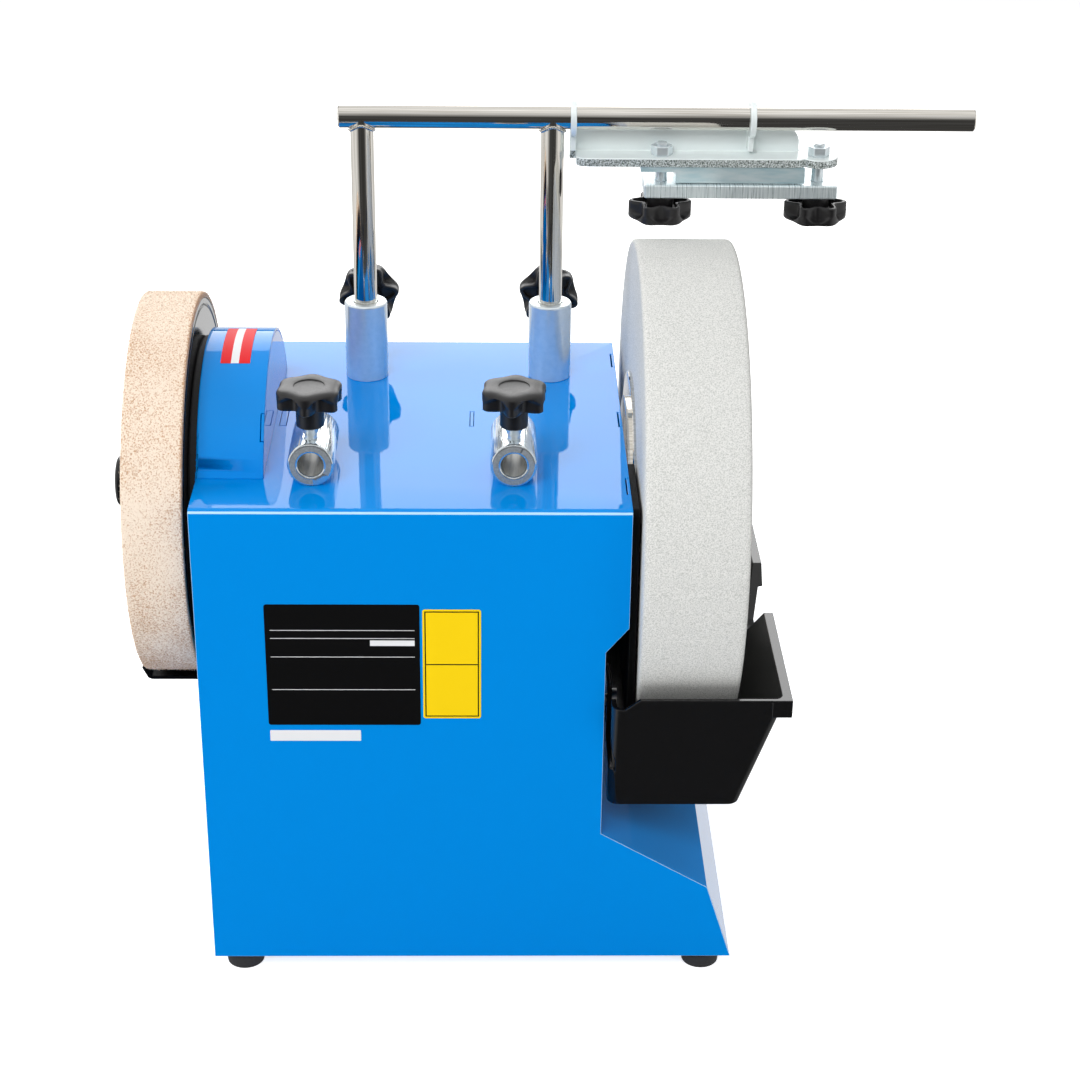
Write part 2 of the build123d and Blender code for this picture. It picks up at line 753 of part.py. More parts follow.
with BuildPart() as motor_fan_bell:
    with BuildSketch(on_motor(fan_bell_x)):
        Circle(motor_dia / 2)
        Circle(motor_r + run_fit, mode=Mode.SUBTRACT)
    extrude(amount=bell_length)
    fillet(motor_fan_bell.faces().sort_by(Axis.X)[-1].outer_wire().edges(), bell_length / 4)
motor_fan_bell.part.label = "motor_fan_bell"
export_step(motor_fan_bell.part, "parts/motor_fan_bell.step")

fan_length = (partition_x - fan_x) * 0.7
with BuildPart() as motor_shaft:
    with BuildSketch(on_motor(x_left + 2 * sheet)):
        Circle(motor_r)
    extrude(amount=fan_x + fan_length - x_left - 2 * sheet)
    with BuildSketch(on_motor(stator_x + turn_gap)):
        Circle(motor_dia * 0.3 - turn_gap)
    extrude(amount=stator_length - 2 * turn_gap)
motor_shaft.part.label = "motor_shaft"
export_step(motor_shaft.part, "parts/motor_shaft.step")

with BuildPart() as motor_fan:
    with BuildSketch(on_motor(fan_x)):
        Circle(motor_dia * 0.16)
        with PolarLocations(motor_dia * 0.26, 8):
            Rectangle(motor_dia * 0.26, 2)
        Circle(motor_r + seat_fit, mode=Mode.SUBTRACT)
    extrude(amount=fan_length)
motor_fan.part.label = "motor_fan"
export_step(motor_fan.part, "parts/motor_fan.step")

with BuildPart() as motor_screws:
    with BuildSketch(on_motor(bearing_x)):
        with PolarLocations(motor_screw_spread / 2, 4, start_angle=45):
            Circle(stud_dia * 0.7)
    extrude(amount=-plate)
    with BuildSketch(on_motor(bearing_x)):
        with PolarLocations(motor_screw_spread / 2, 4, start_angle=45):
            Circle(screw_dia / 2)
    extrude(amount=plate + bell_length * 0.6)
motor_screws.part.label = "motor_screws"
export_step(motor_screws.part, "parts/motor_screws.step")

with BuildPart() as capacitor:
    with BuildSketch(Plane(origin=(partition_x + sheet, y_front / 2, deck_z), z_dir=(1, 0, 0))):
        Circle(capacitor_dia / 2)
    extrude(amount=capacitor_length)
    fillet(capacitor.edges().filter_by(GeomType.CIRCLE), 1.5)
capacitor.part.label = "capacitor"
export_step(capacitor.part, "parts/capacitor.step")

# Switch with its rocker and the cable gland, on the back
pivot_y = y_back + 1
rocker_clear = rocker_radius + turn_gap
with BuildPart() as switch_body:
    with BuildSketch(Plane.XZ.offset(-y_back)):
        with Locations((switch_x, switch_z)):
            RectangleRounded(switch_width + 2 * bezel, switch_height + 2 * bezel, bezel)
    extrude(amount=-bezel_thickness)
    with BuildSketch(Plane.XZ.offset(-y_back)):
        with Locations((switch_x, switch_z)):
            Rectangle(switch_width - tab_play, switch_height - tab_play)
    extrude(amount=switch_depth)
    rocker_end = Plane(origin=(switch_x, pivot_y, switch_z), x_dir=(0, 1, 0), z_dir=(1, 0, 0))
    with BuildSketch(rocker_end):
        Circle(rocker_clear)
    extrude(amount=rocker_width / 2 + turn_gap, both=True, mode=Mode.SUBTRACT)
    with BuildSketch(rocker_end):
        Circle(rocker_pin_dia / 2 + run_fit)
    extrude(amount=rocker_width / 2 + turn_gap + 1.2, both=True, mode=Mode.SUBTRACT)
switch_body.part.label = "switch_body"
export_step(switch_body.part, "parts/switch_body.step")

with BuildPart() as switch_rocker:
    tilt = radians(rocker_tilt)
    tilted = Plane(origin=rocker_end.origin, x_dir=(0, cos(tilt), -sin(tilt)), z_dir=(1, 0, 0))
    with BuildSketch(tilted):
        Circle(rocker_radius)
        Polygon(
            (3.0, 0),
            (6.0, rocker_radius),
            (2 * rocker_radius, rocker_radius),
            (2 * rocker_radius, -rocker_radius),
            (6.0, -rocker_radius),
            align=None,
            mode=Mode.SUBTRACT,
        )
    extrude(amount=rocker_width / 2, both=True)
    with BuildSketch(tilted):
        Circle(rocker_pin_dia / 2)
    extrude(amount=rocker_width / 2 + turn_gap + 1, both=True)
switch_rocker.part.label = "switch_rocker"
export_step(switch_rocker.part, "parts/switch_rocker.step")

with BuildPart() as cable_gland:
    gland_out = Plane(origin=(switch_x, y_back, gland_z), z_dir=(0, 1, 0))
    with BuildSketch(gland_out):
        RegularPolygon(gland_flats / 2, 6, major_radius=False)
    extrude(amount=5)
    with BuildSketch(gland_out.offset(5)):
        Circle(gland_flats * 0.42)
    extrude(amount=6)
    fillet(cable_gland.faces().sort_by(Axis.Y)[-1].edges(), 2.5)
    with BuildSketch(gland_out):
        Circle(gland_thread_dia / 2)
    extrude(amount=-12)
    with BuildSketch(gland_out):
        Circle(cable_bore_dia / 2)
    extrude(amount=30, both=True, mode=Mode.SUBTRACT)
    with BuildSketch(gland_out.offset(-sheet)):
        RegularPolygon(gland_flats / 2, 6, major_radius=False)
        Circle(gland_thread_dia / 2 + seat_fit, mode=Mode.SUBTRACT)
    extrude(amount=-5)
cable_gland.part.label = "cable_gland"
export_step(cable_gland.part, "parts/cable_gland.step")

# Rim that follows the pouring notch down the far wall of the trough
with BuildPart() as notch_band:
    for z in (floor_z, rim_z):
        with BuildSketch(Plane.XY.offset(z)):
            with Locations((trough_x, 0)):
                Rectangle(trough_side(z) + trough_lip, notch_top * 2, align=(Align.MIN, Align.CENTER))
    loft(ruled=True)
    with BuildSketch(Plane.YZ.offset(trough_x + trough_width / 2)):
        Polygon(*notch_outline(notch_rim, rim_z), align=None)
    extrude(amount=trough_width, mode=Mode.INTERSECT)

# Water trough: tapered box, low on the casing side, with a notch in the far wall
with BuildPart() as water_trough:
    for z in (floor_z, rim_z):
        with BuildSketch(Plane.XY.offset(z)):
            with Locations((trough_x + trough_side(z) / 2, 0)):
                RectangleRounded(trough_side(z), 2 * trough_end(z), trough_corner)
    loft(ruled=True)
    with BuildSketch(Plane.XY.offset(rim_z)):
        with Locations((trough_x + trough_width + trough_lip, 0)):
            Rectangle(trough_lip + 3 * trough_wall, 2 * rim_half, align=(Align.MAX, Align.CENTER))
    extrude(amount=-trough_lip_height)
    add(notch_band.part)
    for z in (floor_z + trough_wall, rim_z + 1):
        with BuildSketch(Plane.XY.offset(z)):
            with Locations((trough_x + trough_side(z) / 2, 0)):
                RectangleRounded(
                    trough_side(z) - 2 * trough_wall,
                    2 * trough_end(z) - 2 * trough_wall,
                    trough_corner - trough_wall,
                )
    loft(ruled=True, mode=Mode.SUBTRACT)
    # low wall beside the casing, with two lugs left standing
    with BuildSketch(Plane.YZ.offset(trough_x - 1)):
        with Locations((casing_y, floor_z + left_wall_height)):
            Rectangle(casing_depth + 2, trough_height, align=(Align.CENTER, Align.MIN))
        for peg_y in peg_ys:
            with Locations((peg_y, floor_z + left_wall_height - 2)):
                Rectangle(
                    lug_width, lug_rise + 2, align=(Align.CENTER, Align.MIN), mode=Mode.SUBTRACT
                )
    extrude(amount=trough_wall + 1.5, mode=Mode.SUBTRACT)
    # step in the ends beside the casing
    with BuildSketch(Plane.XZ):
        Polygon(
            (trough_x - 1, rim_z - step_drop),
            (trough_x + step_near, rim_z - step_drop),
            (trough_x + step_far, rim_z),
            (trough_x + step_far, rim_z + 2),
            (trough_x - 1, rim_z + 2),
            align=None,
        )
    extrude(amount=rim_half + 5, both=True, mode=Mode.SUBTRACT)
    # pouring notch
    with BuildSketch(Plane.YZ.offset(trough_x + trough_width / 2)):
        Polygon(*notch_outline(0, rim_z + 1), align=None)
    extrude(amount=trough_width, mode=Mode.SUBTRACT)
    # keyholes that hang on the pegs
    with BuildSketch(Plane.YZ.offset(trough_x - 1)):
        for peg_y in peg_ys:
            with Locations((peg_y, peg_z)):
                Circle(peg_dia / 2 + peg_play)
            with Locations((peg_y, peg_z - keyhole_drop)):
                Circle(peg_head_dia / 2 + 2 * peg_play)
            with Locations((peg_y, peg_z - keyhole_drop / 2)):
                Rectangle(peg_dia + 2 * peg_play, keyhole_drop)
    extrude(amount=trough_wall + 1.5, mode=Mode.SUBTRACT)
water_trough.part.label = "water_trough"
export_step(water_trough.part, "parts/water_trough.step")

peg_neck = trough_clear + trough_wall + 2 * peg_play
with BuildPart() as trough_pegs:
    with BuildSketch(Plane.YZ.offset(recess_x)):
        for peg_y in peg_ys:
            with Locations((peg_y, peg_z)):
                Circle(peg_dia / 2)
    extrude(amount=peg_neck)
    with BuildSketch(Plane.YZ.offset(recess_x + peg_neck)):
        for peg_y in peg_ys:
            with Locations((peg_y, peg_z)):
                Circle(peg_head_dia / 2)
    extrude(amount=peg_head)
    with BuildSketch(Plane.YZ.offset(recess_x)):
        for peg_y in peg_ys:
            with Locations((peg_y, peg_z)):
                Circle(peg_dia / 2)
    extrude(amount=-sheet)
    with BuildSketch(Plane.YZ.offset(recess_x - sheet)):
        for peg_y in peg_ys:
            with Locations((peg_y, peg_z)):
                Circle(peg_head_dia / 2)
    extrude(amount=-peg_head)
trough_pegs.part.label = "trough_pegs"
export_step(trough_pegs.part, "parts/trough_pegs.step")

# Plated sleeves on the top: two upright for the posts, two lying for the support turned forward
tap_r = stud_dia / 2 + slide_fit
for side, post_x in zip(sides, post_xs):
    with BuildPart() as post_sleeve:
        with BuildSketch(Plane(origin=(post_x, post_y, z_top))):
            Circle(sleeve_dia / 2)
            Circle(bore_r, mode=Mode.SUBTRACT)
        extrude(amount=sleeve_length)
        chamfer(post_sleeve.faces().sort_by(Axis.Z)[-1].edges(), 0.8)
        with BuildSketch(
            Plane(origin=(post_x, post_y, z_top + sleeve_length - stud_inset), z_dir=(0, 1, 0))
        ):
            Circle(tap_r)
        extrude(amount=sleeve_dia, mode=Mode.SUBTRACT)
    post_sleeve.part.label = f"post_sleeve_{side}"
    export_step(post_sleeve.part, f"parts/post_sleeve_{side}.step")

for side, rest_x in zip(sides, rest_xs):
    with BuildPart() as rest_sleeve:
        with BuildSketch(Plane(origin=(rest_x, rest_y, rest_z), z_dir=(0, 1, 0))):
            Circle(sleeve_dia / 2)
            Circle(bore_r, mode=Mode.SUBTRACT)
        extrude(amount=sleeve_length)
        for end in (0, -1):
            chamfer(rest_sleeve.faces().sort_by(Axis.Y)[end].edges(), 0.8)
        with BuildSketch(Plane.XY.offset(z_top)):
            with Locations((rest_x, rest_y + sleeve_length / 2)):
                Rectangle(sleeve_dia, sleeve_length + 2)
        extrude(amount=-sleeve_dia, mode=Mode.SUBTRACT)
        with BuildSketch(Plane(origin=(rest_x, rest_y + stud_inset, rest_z))):
            Circle(tap_r)
        extrude(amount=sleeve_dia, mode=Mode.SUBTRACT)
    rest_sleeve.part.label = f"rest_sleeve_{side}"
    export_step(rest_sleeve.part, f"parts/rest_sleeve_{side}.step")

# Tool support: a bar welded to two posts
with BuildPart() as support_frame:
    with BuildSketch(Plane.YZ.offset(post_xs[0] - bar_overhang)):
        with Locations((post_y, bar_z)):
            Circle(bar_r)
    extrude(amount=bar_length)
    chamfer(support_frame.edges().filter_by(GeomType.CIRCLE), 0.8)
    for post_x in post_xs:
        with BuildSketch(Plane(origin=(post_x, post_y, z_top + post_seat))):
            Circle(bar_r)
        extrude(amount=bar_z - bar_r / 2 - z_top - post_seat)
        # weld bead: widens below the bar and closes on it
        with BuildSketch(Plane(origin=(post_x, post_y, bar_z - bar_r - 2 * weld_size))):
            Circle(bar_r)
        with BuildSketch(Plane(origin=(post_x, post_y, bar_z - bar_r / 2))):
            Circle(bar_r + weld_size)
        loft()
        with BuildSketch(Plane(origin=(post_x, post_y, bar_z - bar_r / 2))):
            Circle(bar_r + weld_size)
        with BuildSketch(Plane(origin=(post_x, post_y, bar_z))):
            Circle(bar_r - weld_size)
        loft()
    feet = support_frame.faces().filter_by(Axis.Z).group_by(Axis.Z)[0]
    chamfer(feet.edges(), 0.8)
support_frame.part.label = "support_frame"
export_step(support_frame.part, "parts/support_frame.step")

# Blade jig: bent bracket with two ears on the bar
with BuildPart() as jig_bracket:
    with BuildSketch(Plane.XY.offset(strip_top)) as deck:
        with Locations((jig_right, post_y - jig_front)):
            Rectangle(jig_length - ear, jig_front + jig_back, align=(Align.MAX, Align.MIN))
        fillet(deck.vertices().group_by(Axis.Y)[0], jig_front * 0.6)
        with Locations((stud_xs[1], post_y)):
            Circle(jig_bush_dia / 2)
    extrude(amount=jig_flange)
    with BuildSketch(Plane.XZ.offset(-post_y - jig_back)) as back:
        with Locations((jig_x, strip_top)):
            Rectangle(
                jig_length - ear, jig_flange + jig_web_rise, align=(Align.MIN, Align.MIN)
            )
        fillet(back.vertices().group_by(Axis.Y)[-1].sort_by(Axis.X)[-1], jig_web_rise * 0.6)
    extrude(amount=jig_web)
    for ear_x in ear_xs:
        with BuildSketch(Plane.YZ.offset(ear_x)):
            with Locations((post_y, bar_z)):
                Circle(ear_radius)
            with Locations((post_y, bar_z)):
                Rectangle(jig_back, ear_root, align=(Align.MIN, Align.MAX))
        extrude(amount=ear)
        with BuildSketch(Plane.YZ.offset(ear_x)):
            with Locations((post_y, bar_z)):
                Circle(bore_r)
        extrude(amount=ear, mode=Mode.SUBTRACT)
    with BuildSketch(Plane.XY.offset(jig_top)):
        for stud_x in stud_xs:
            with Locations((stud_x, post_y)):
                Circle(stud_dia / 2 + seat_fit)
    extrude(amount=-2 * jig_flange, mode=Mode.SUBTRACT)
jig_bracket.part.label = "jig_bracket"
export_step(jig_bracket.part, "parts/jig_bracket.step")

# The strip is thin around the left stud and full height from there to its right end
with BuildPart() as jig_stop_strip:
    for strip_from, drop in ((strip_x, strip_thin), (stud_xs[0] + stud_relief, strip_height)):
        with BuildSketch(Plane.XY.offset(strip_top)):
            with Locations((jig_right, post_y - jig_front + strip_inset)):
                Rectangle(
                    jig_right - strip_from,
                    jig_front + jig_back - strip_inset,
                    align=(Align.MAX, Align.MIN),
                )
            with Locations((stud_xs[1], post_y)):
                Circle(jig_bush_dia / 2, mode=Mode.SUBTRACT)
        extrude(amount=-drop)
    with BuildSketch(Plane.XY.offset(strip_top)):
        with Locations((stud_xs[0], post_y)):
            Circle(stud_dia / 2 + 4 * slide_fit)
    extrude(amount=-strip_height, mode=Mode.SUBTRACT)
jig_stop_strip.part.label = "jig_stop_strip"
export_step(jig_stop_strip.part, "parts/jig_stop_strip.step")

with BuildPart() as jig_clamp_bar:
    with BuildSketch(Plane.XY.offset(clamp_under)):
        with Locations((clamp_x, post_y)):
            Rectangle(clamp_length, clamp_depth, align=(Align.MIN, Align.CENTER))
    extrude(amount=clamp_height)
    chamfer(jig_clamp_bar.edges(), 0.6)
    with BuildSketch(Plane.XY.offset(clamp_under)):
        for stud_x in stud_xs:
            with Locations((stud_x, post_y)):
                Circle(stud_dia / 2 + 4 * slide_fit)
    extrude(amount=clamp_height, mode=Mode.SUBTRACT)
jig_clamp_bar.part.label = "jig_clamp_bar"
export_step(jig_clamp_bar.part, "parts/jig_clamp_bar.step")

jig_stud_low = clamp_under - jig_hub - knob_head * 0.5
with BuildPart() as jig_studs:
    for stud_x in stud_xs:
        with BuildSketch(Plane(origin=(stud_x, post_y, jig_stud_low))):
            Circle(stud_dia / 2)
        extrude(amount=jig_top + jig_nut + 1.5 - jig_stud_low)
    chamfer(jig_studs.faces().filter_by(Axis.Z).group_by(Axis.Z)[-1].edges(), 0.6)
jig_studs.part.label = "jig_studs"
export_step(jig_studs.part, "parts/jig_studs.step")

with BuildPart() as jig_nuts:
    for stud_x in stud_xs:
        with BuildSketch(Plane(origin=(stud_x, post_y, jig_top))):
            RegularPolygon(jig_nut_flats / 2, 6, major_radius=False)
            Circle(stud_dia / 2 + seat_fit, mode=Mode.SUBTRACT)
        extrude(amount=jig_nut)
jig_nuts.part.label = "jig_nuts"
export_step(jig_nuts.part, "parts/jig_nuts.step")

# Star knobs: four lock the sleeves, two close the jig
knob_places = []
for side, post_x in zip(sides, post_xs):
    seat = (post_x, post_y + sleeve_dia / 2 + knob_gap, z_top + sleeve_length - stud_inset)
    knob_places.append((f"post_knob_{side}", Plane(origin=seat, z_dir=(0, 1, 0)), knob_hub))
for side, rest_x in zip(sides, rest_xs):
    seat = (rest_x, rest_y + stud_inset, rest_z + sleeve_dia / 2 + knob_gap)
    knob_places.append((f"rest_knob_{side}", Plane(origin=seat, z_dir=(0, 0, 1)), knob_hub))
for side, stud_x in zip(sides, stud_xs):
    seat = (stud_x, post_y, clamp_under - tab_play / 2)
    knob_places.append((f"jig_knob_{side}", Plane(origin=seat, z_dir=(0, 0, -1)), jig_hub))

for name, place, hub in knob_places:
    along = Axis(place.origin, place.z_dir)
    turn = knob_turns[name]
    with BuildPart() as knob:
        with BuildSketch(place.offset(hub)) as head:
            Circle(knob_dia / 2 - lobe_dia * 0.36)
            with PolarLocations(knob_dia / 2 - lobe_dia / 2, lobe_count, start_angle=turn):
                Circle(lobe_dia / 2)
            fillet(head.vertices(), lobe_dia / 3)
        extrude(amount=knob_head)
        fillet(knob.faces().sort_by(along)[-1].edges(), 1.8)
        with BuildSketch(place.offset(hub)):
            Circle(knob_dia / 2 - lobe_dia * 0.36 - knob_wall)
        extrude(amount=knob_head - 2 * knob_wall, mode=Mode.SUBTRACT)
        with BuildSketch(place):
            Circle(knob_hub_dia / 2)
        extrude(amount=hub + knob_head - knob_wall)
        with BuildSketch(place.offset(hub + knob_head)):
            Circle(knob_hub_dia / 2)
        extrude(amount=-0.6, mode=Mode.SUBTRACT)
        with BuildSketch(place):
            Circle(stud_dia / 2 + (seat_fit if hub == knob_hub else slide_fit))
        extrude(amount=stud_grip + hub - (knob_hub if hub == knob_hub else 0), mode=Mode.SUBTRACT)
    knob.part.label = name
    export_step(knob.part, f"parts/{name}.step")

# Steel studs of the four sleeve knobs, with a flared neck below the hub
stud_reach = knob_gap + sleeve_dia / 2 - bore_r - stud_tip_gap
for name, place, hub in knob_places:
    if hub != knob_hub:
        continue
    with BuildPart() as stud:
        with BuildSketch(place.offset(stud_grip - 0.5)):
            Circle(stud_dia / 2)
        extrude(amount=-(stud_grip - 0.5 + stud_reach))
        with BuildSketch(place):
            Circle(stud_dia / 2 + 1.8)
        with BuildSketch(place.offset(-knob_gap * 0.75)):
            Circle(stud_dia / 2)
        loft()
    stud.part.label = f"{name}_stud"
    export_step(stud.part, f"parts/{name}_stud.step")

print("spindle axis", spindle_z, "motor axis", round(motor_z, 3), "ratio", motor_speed / stone_speed)
print("casing", round(x_left, 2), round(x_right, 2), "bar axis", post_y, bar_z)
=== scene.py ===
# %% [markdown]
# # Dressing a wet sharpening machine
# A slow stone turns in a water trough, a leather wheel hones on the other side, and a friction drive in
# the blue casing turns both. The frame holds every piece as a fixed solid in metres. This lesson gives
# each one its finish and adds the small forms that a workshop photograph shows.

# %% Load the frame
import json
from math import cos, radians, sin, tau

import bmesh
import bpy
from mathutils import Matrix, Vector
from mathutils.noise import noise

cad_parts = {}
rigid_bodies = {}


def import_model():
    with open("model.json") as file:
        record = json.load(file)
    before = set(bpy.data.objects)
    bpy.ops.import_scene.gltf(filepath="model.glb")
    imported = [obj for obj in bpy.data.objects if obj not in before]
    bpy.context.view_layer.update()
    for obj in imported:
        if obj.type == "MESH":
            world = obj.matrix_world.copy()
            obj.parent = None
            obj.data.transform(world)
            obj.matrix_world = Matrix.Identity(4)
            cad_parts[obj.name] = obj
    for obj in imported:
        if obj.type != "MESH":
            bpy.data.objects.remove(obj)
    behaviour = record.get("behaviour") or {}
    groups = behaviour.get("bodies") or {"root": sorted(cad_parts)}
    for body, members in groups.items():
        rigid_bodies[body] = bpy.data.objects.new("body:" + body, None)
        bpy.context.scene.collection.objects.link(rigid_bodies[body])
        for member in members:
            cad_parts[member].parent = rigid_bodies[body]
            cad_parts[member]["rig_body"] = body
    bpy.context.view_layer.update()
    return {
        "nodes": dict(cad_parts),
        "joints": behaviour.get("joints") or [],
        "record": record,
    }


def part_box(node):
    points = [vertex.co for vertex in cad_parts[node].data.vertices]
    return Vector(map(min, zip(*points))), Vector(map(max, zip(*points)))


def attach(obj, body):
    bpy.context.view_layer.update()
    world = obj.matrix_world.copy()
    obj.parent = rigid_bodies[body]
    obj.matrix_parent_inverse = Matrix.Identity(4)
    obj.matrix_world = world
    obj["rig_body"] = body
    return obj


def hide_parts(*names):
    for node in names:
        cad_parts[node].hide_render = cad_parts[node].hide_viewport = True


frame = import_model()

MM = 0.001
scene = bpy.context.scene
joints = {joint["name"]: joint for joint in frame["joints"]}
slot_of = {part["node"]: part["material_slot"] for part in frame["record"]["subparts"]}

# %% [markdown]
# ## Places that several steps use
# Everything is measured from the solids, so a change of the model moves the dressing with it. A box is
# the lowest and the highest corner of one solid. Finishes and pieces both need the casing, the leather
# and the spindle, so those come first.

# %% Places from the frame
spindle = Vector(joints["spindle_turn"]["pos_m"])
casing_low, casing_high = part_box("housing_shell")
leather_low, leather_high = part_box("honing_leather")
print("spindle", tuple(round(c / MM, 1) for c in spindle), "in mm")

# %% [markdown]
# ## Helpers for materials
# A hex colour is made for screens, so it is turned into linear light first. A texture's scale counts its
# grains in a metre, so it is worked out from the grain's size in millimetres. One function adds any node
# with its settings and links, and every finish below is written with it.

# %% Material helpers
MIX_A, MIX_B, MIX_RESULT = 6, 7, 2
NOISE_SPAN = {"From Min": 0.3, "From Max": 0.7}


def linear(code):
    """Linear colour of an sRGB hex code."""
    shares = [int(code[i:i + 2], 16) / 255 for i in (1, 3, 5)]
    return [s / 12.92 if s <= 0.04045 else ((s + 0.055) / 1.055) ** 2.4 for s in shares] + [1.0]


def per_metre(*sizes):
    """Scale of a texture whose grain is so many millimetres along X, Y and Z."""
    return [1 / (size * MM) for size in sizes]


def add(tree, kind, values=None, links=None, **settings):
    """Adds one node, then sets its properties, its sockets and what feeds them: a node or its output."""
    node = tree.nodes.new(kind)
    for name, value in settings.items():
        setattr(node, name, value)
    for name, value in (values or {}).items():
        node.inputs[name].default_value = value
    for name, source in (links or {}).items():
        output = source.outputs[0] if isinstance(source, bpy.types.Node) else source
        tree.links.new(output, node.inputs[name])
    return node


def start(name, colour, **values):
    """A new material with its constants set: (material, tree, shader, object coordinates)."""
    material = bpy.data.materials.new(name)
    material.use_nodes = True
    tree = material.node_tree
    shader = tree.nodes["Principled BSDF"]
    shader.inputs["Base Color"].default_value = linear(colour)
    for key, value in values.items():
        shader.inputs[key.replace("_", " ")].default_value = value
    return material, tree, shader, add(tree, "ShaderNodeTexCoord").outputs["Object"]


# %% [markdown]
# ## Blue enamel
# The casing is folded sheet steel, sprayed with gloss enamel and baked. A plain glossy surface would look
# like plastic, so the finish is a coloured base under a clear coat. The coat mirrors the bright back wall
# at a low angle, which is why the top panel looks pale. A very small ripple, a few millimetres long,
# breaks the mirror as sprayed paint does. The front's edges carry a painted highlight, a thin pale line in
# the base colour: it is put where the surface turns away from the front while it is still less than a
# millimetre behind it.

# %% Enamel
# Painted highlight on the front edges: its depth behind the front in mm, and the slant of the faces it
# colours.
HIGHLIGHT_DEPTH = 0.8
HIGHLIGHT_SLANT, HIGHLIGHT_SPREAD = -0.62, 0.32


def blue_enamel():
    """Gloss enamel: a deep, even blue under a mirror that pales it at low angles, and painted edge
    highlights.
    """
    material, tree, shader, place = start(
        "blue_gloss_enamel", "#008CE4", Roughness=0.5, Specular_IOR_Level=0.0,
        Coat_Weight=1.0, Coat_Roughness=0.03, Coat_IOR=1.3)
    surface = add(tree, "ShaderNodeNewGeometry")
    facing = add(tree, "ShaderNodeSeparateXYZ", links={0: surface.outputs["Normal"]}).outputs
    spot = add(tree, "ShaderNodeSeparateXYZ", links={0: place}).outputs
    # Painted highlight: pale where a face lies less than 0.8 mm behind the front and turns away from it.
    limit = casing_low.y + HIGHLIGHT_DEPTH * MM
    in_highlight_band = add(tree, "ShaderNodeMath", {1: limit}, {0: spot["Y"]}, operation="LESS_THAN")
    highlight_facing = add(
        tree, "ShaderNodeMath", {1: HIGHLIGHT_SLANT, 2: HIGHLIGHT_SPREAD}, {0: facing["Y"]}, operation="COMPARE")
    edge = add(tree, "ShaderNodeMath", {}, {0: in_highlight_band, 1: highlight_facing}, operation="MULTIPLY")
    # B9E2FF is the colour of the painted highlight.
    colours = {MIX_A: linear("#008CE4"), MIX_B: linear("#B9E2FF")}
    tint = add(tree, "ShaderNodeMix", colours, {0: edge}, data_type="RGBA")
    tree.links.new(tint.outputs[MIX_RESULT], shader.inputs["Base Color"])
    scaled = add(tree, "ShaderNodeMapping", {"Scale": per_metre(4, 4, 4)}, {"Vector": place})
    ripple = add(tree, "ShaderNodeTexNoise", {"Scale": 1.0, "Detail": 1.0}, {"Vector": scaled})
    bump = add(tree, "ShaderNodeBump", {"Strength": 1.0, "Distance": 0.006 * MM}, {"Height": ripple})
    tree.links.new(bump.outputs[0], shader.inputs["Coat Normal"])
    return material


finishes = {"blue_enamel": blue_enamel()}
print(finishes["blue_enamel"].name)

# %% [markdown]
# ## Plated and bare metals
# Shafts are ground, the bar and its posts are chromed, sleeves and jig are zinc plated, and the motor's
# bells are cast. Metals differ mostly in their surface, so one function makes them all: two tones, a
# roughness that varies with the grain, and relief. Grain stretched along one axis reads as drawing or
# grinding lines, and even grain reads as the crystals of zinc.

# %% Metals
def metal(name, dark, light, rough, sizes, depth, metallic=1.0):
    """A metal whose grain, so many millimetres along X, Y and Z, changes its tone and roughness."""
    material, tree, shader, place = start(name, light, Metallic=metallic)
    scaled = add(tree, "ShaderNodeMapping", {"Scale": per_metre(*sizes)}, {"Vector": place})
    marks = add(tree, "ShaderNodeTexNoise", {"Scale": 1.0, "Detail": 3.0}, {"Vector": scaled})
    share = add(tree, "ShaderNodeMapRange", NOISE_SPAN, {"Value": marks})
    colours = {MIX_A: linear(dark), MIX_B: linear(light)}
    tint = add(tree, "ShaderNodeMix", colours, {0: share}, data_type="RGBA")
    tree.links.new(tint.outputs[MIX_RESULT], shader.inputs["Base Color"])
    limits = {**NOISE_SPAN, "To Min": rough[0], "To Max": rough[1]}
    sheen = add(tree, "ShaderNodeMapRange", limits, {"Value": marks})
    tree.links.new(sheen.outputs[0], shader.inputs["Roughness"])
    if depth:
        bump = add(tree, "ShaderNodeBump", {"Strength": 1.0, "Distance": depth * MM}, {"Height": marks})
        tree.links.new(bump.outputs[0], shader.inputs["Normal"])
    return material


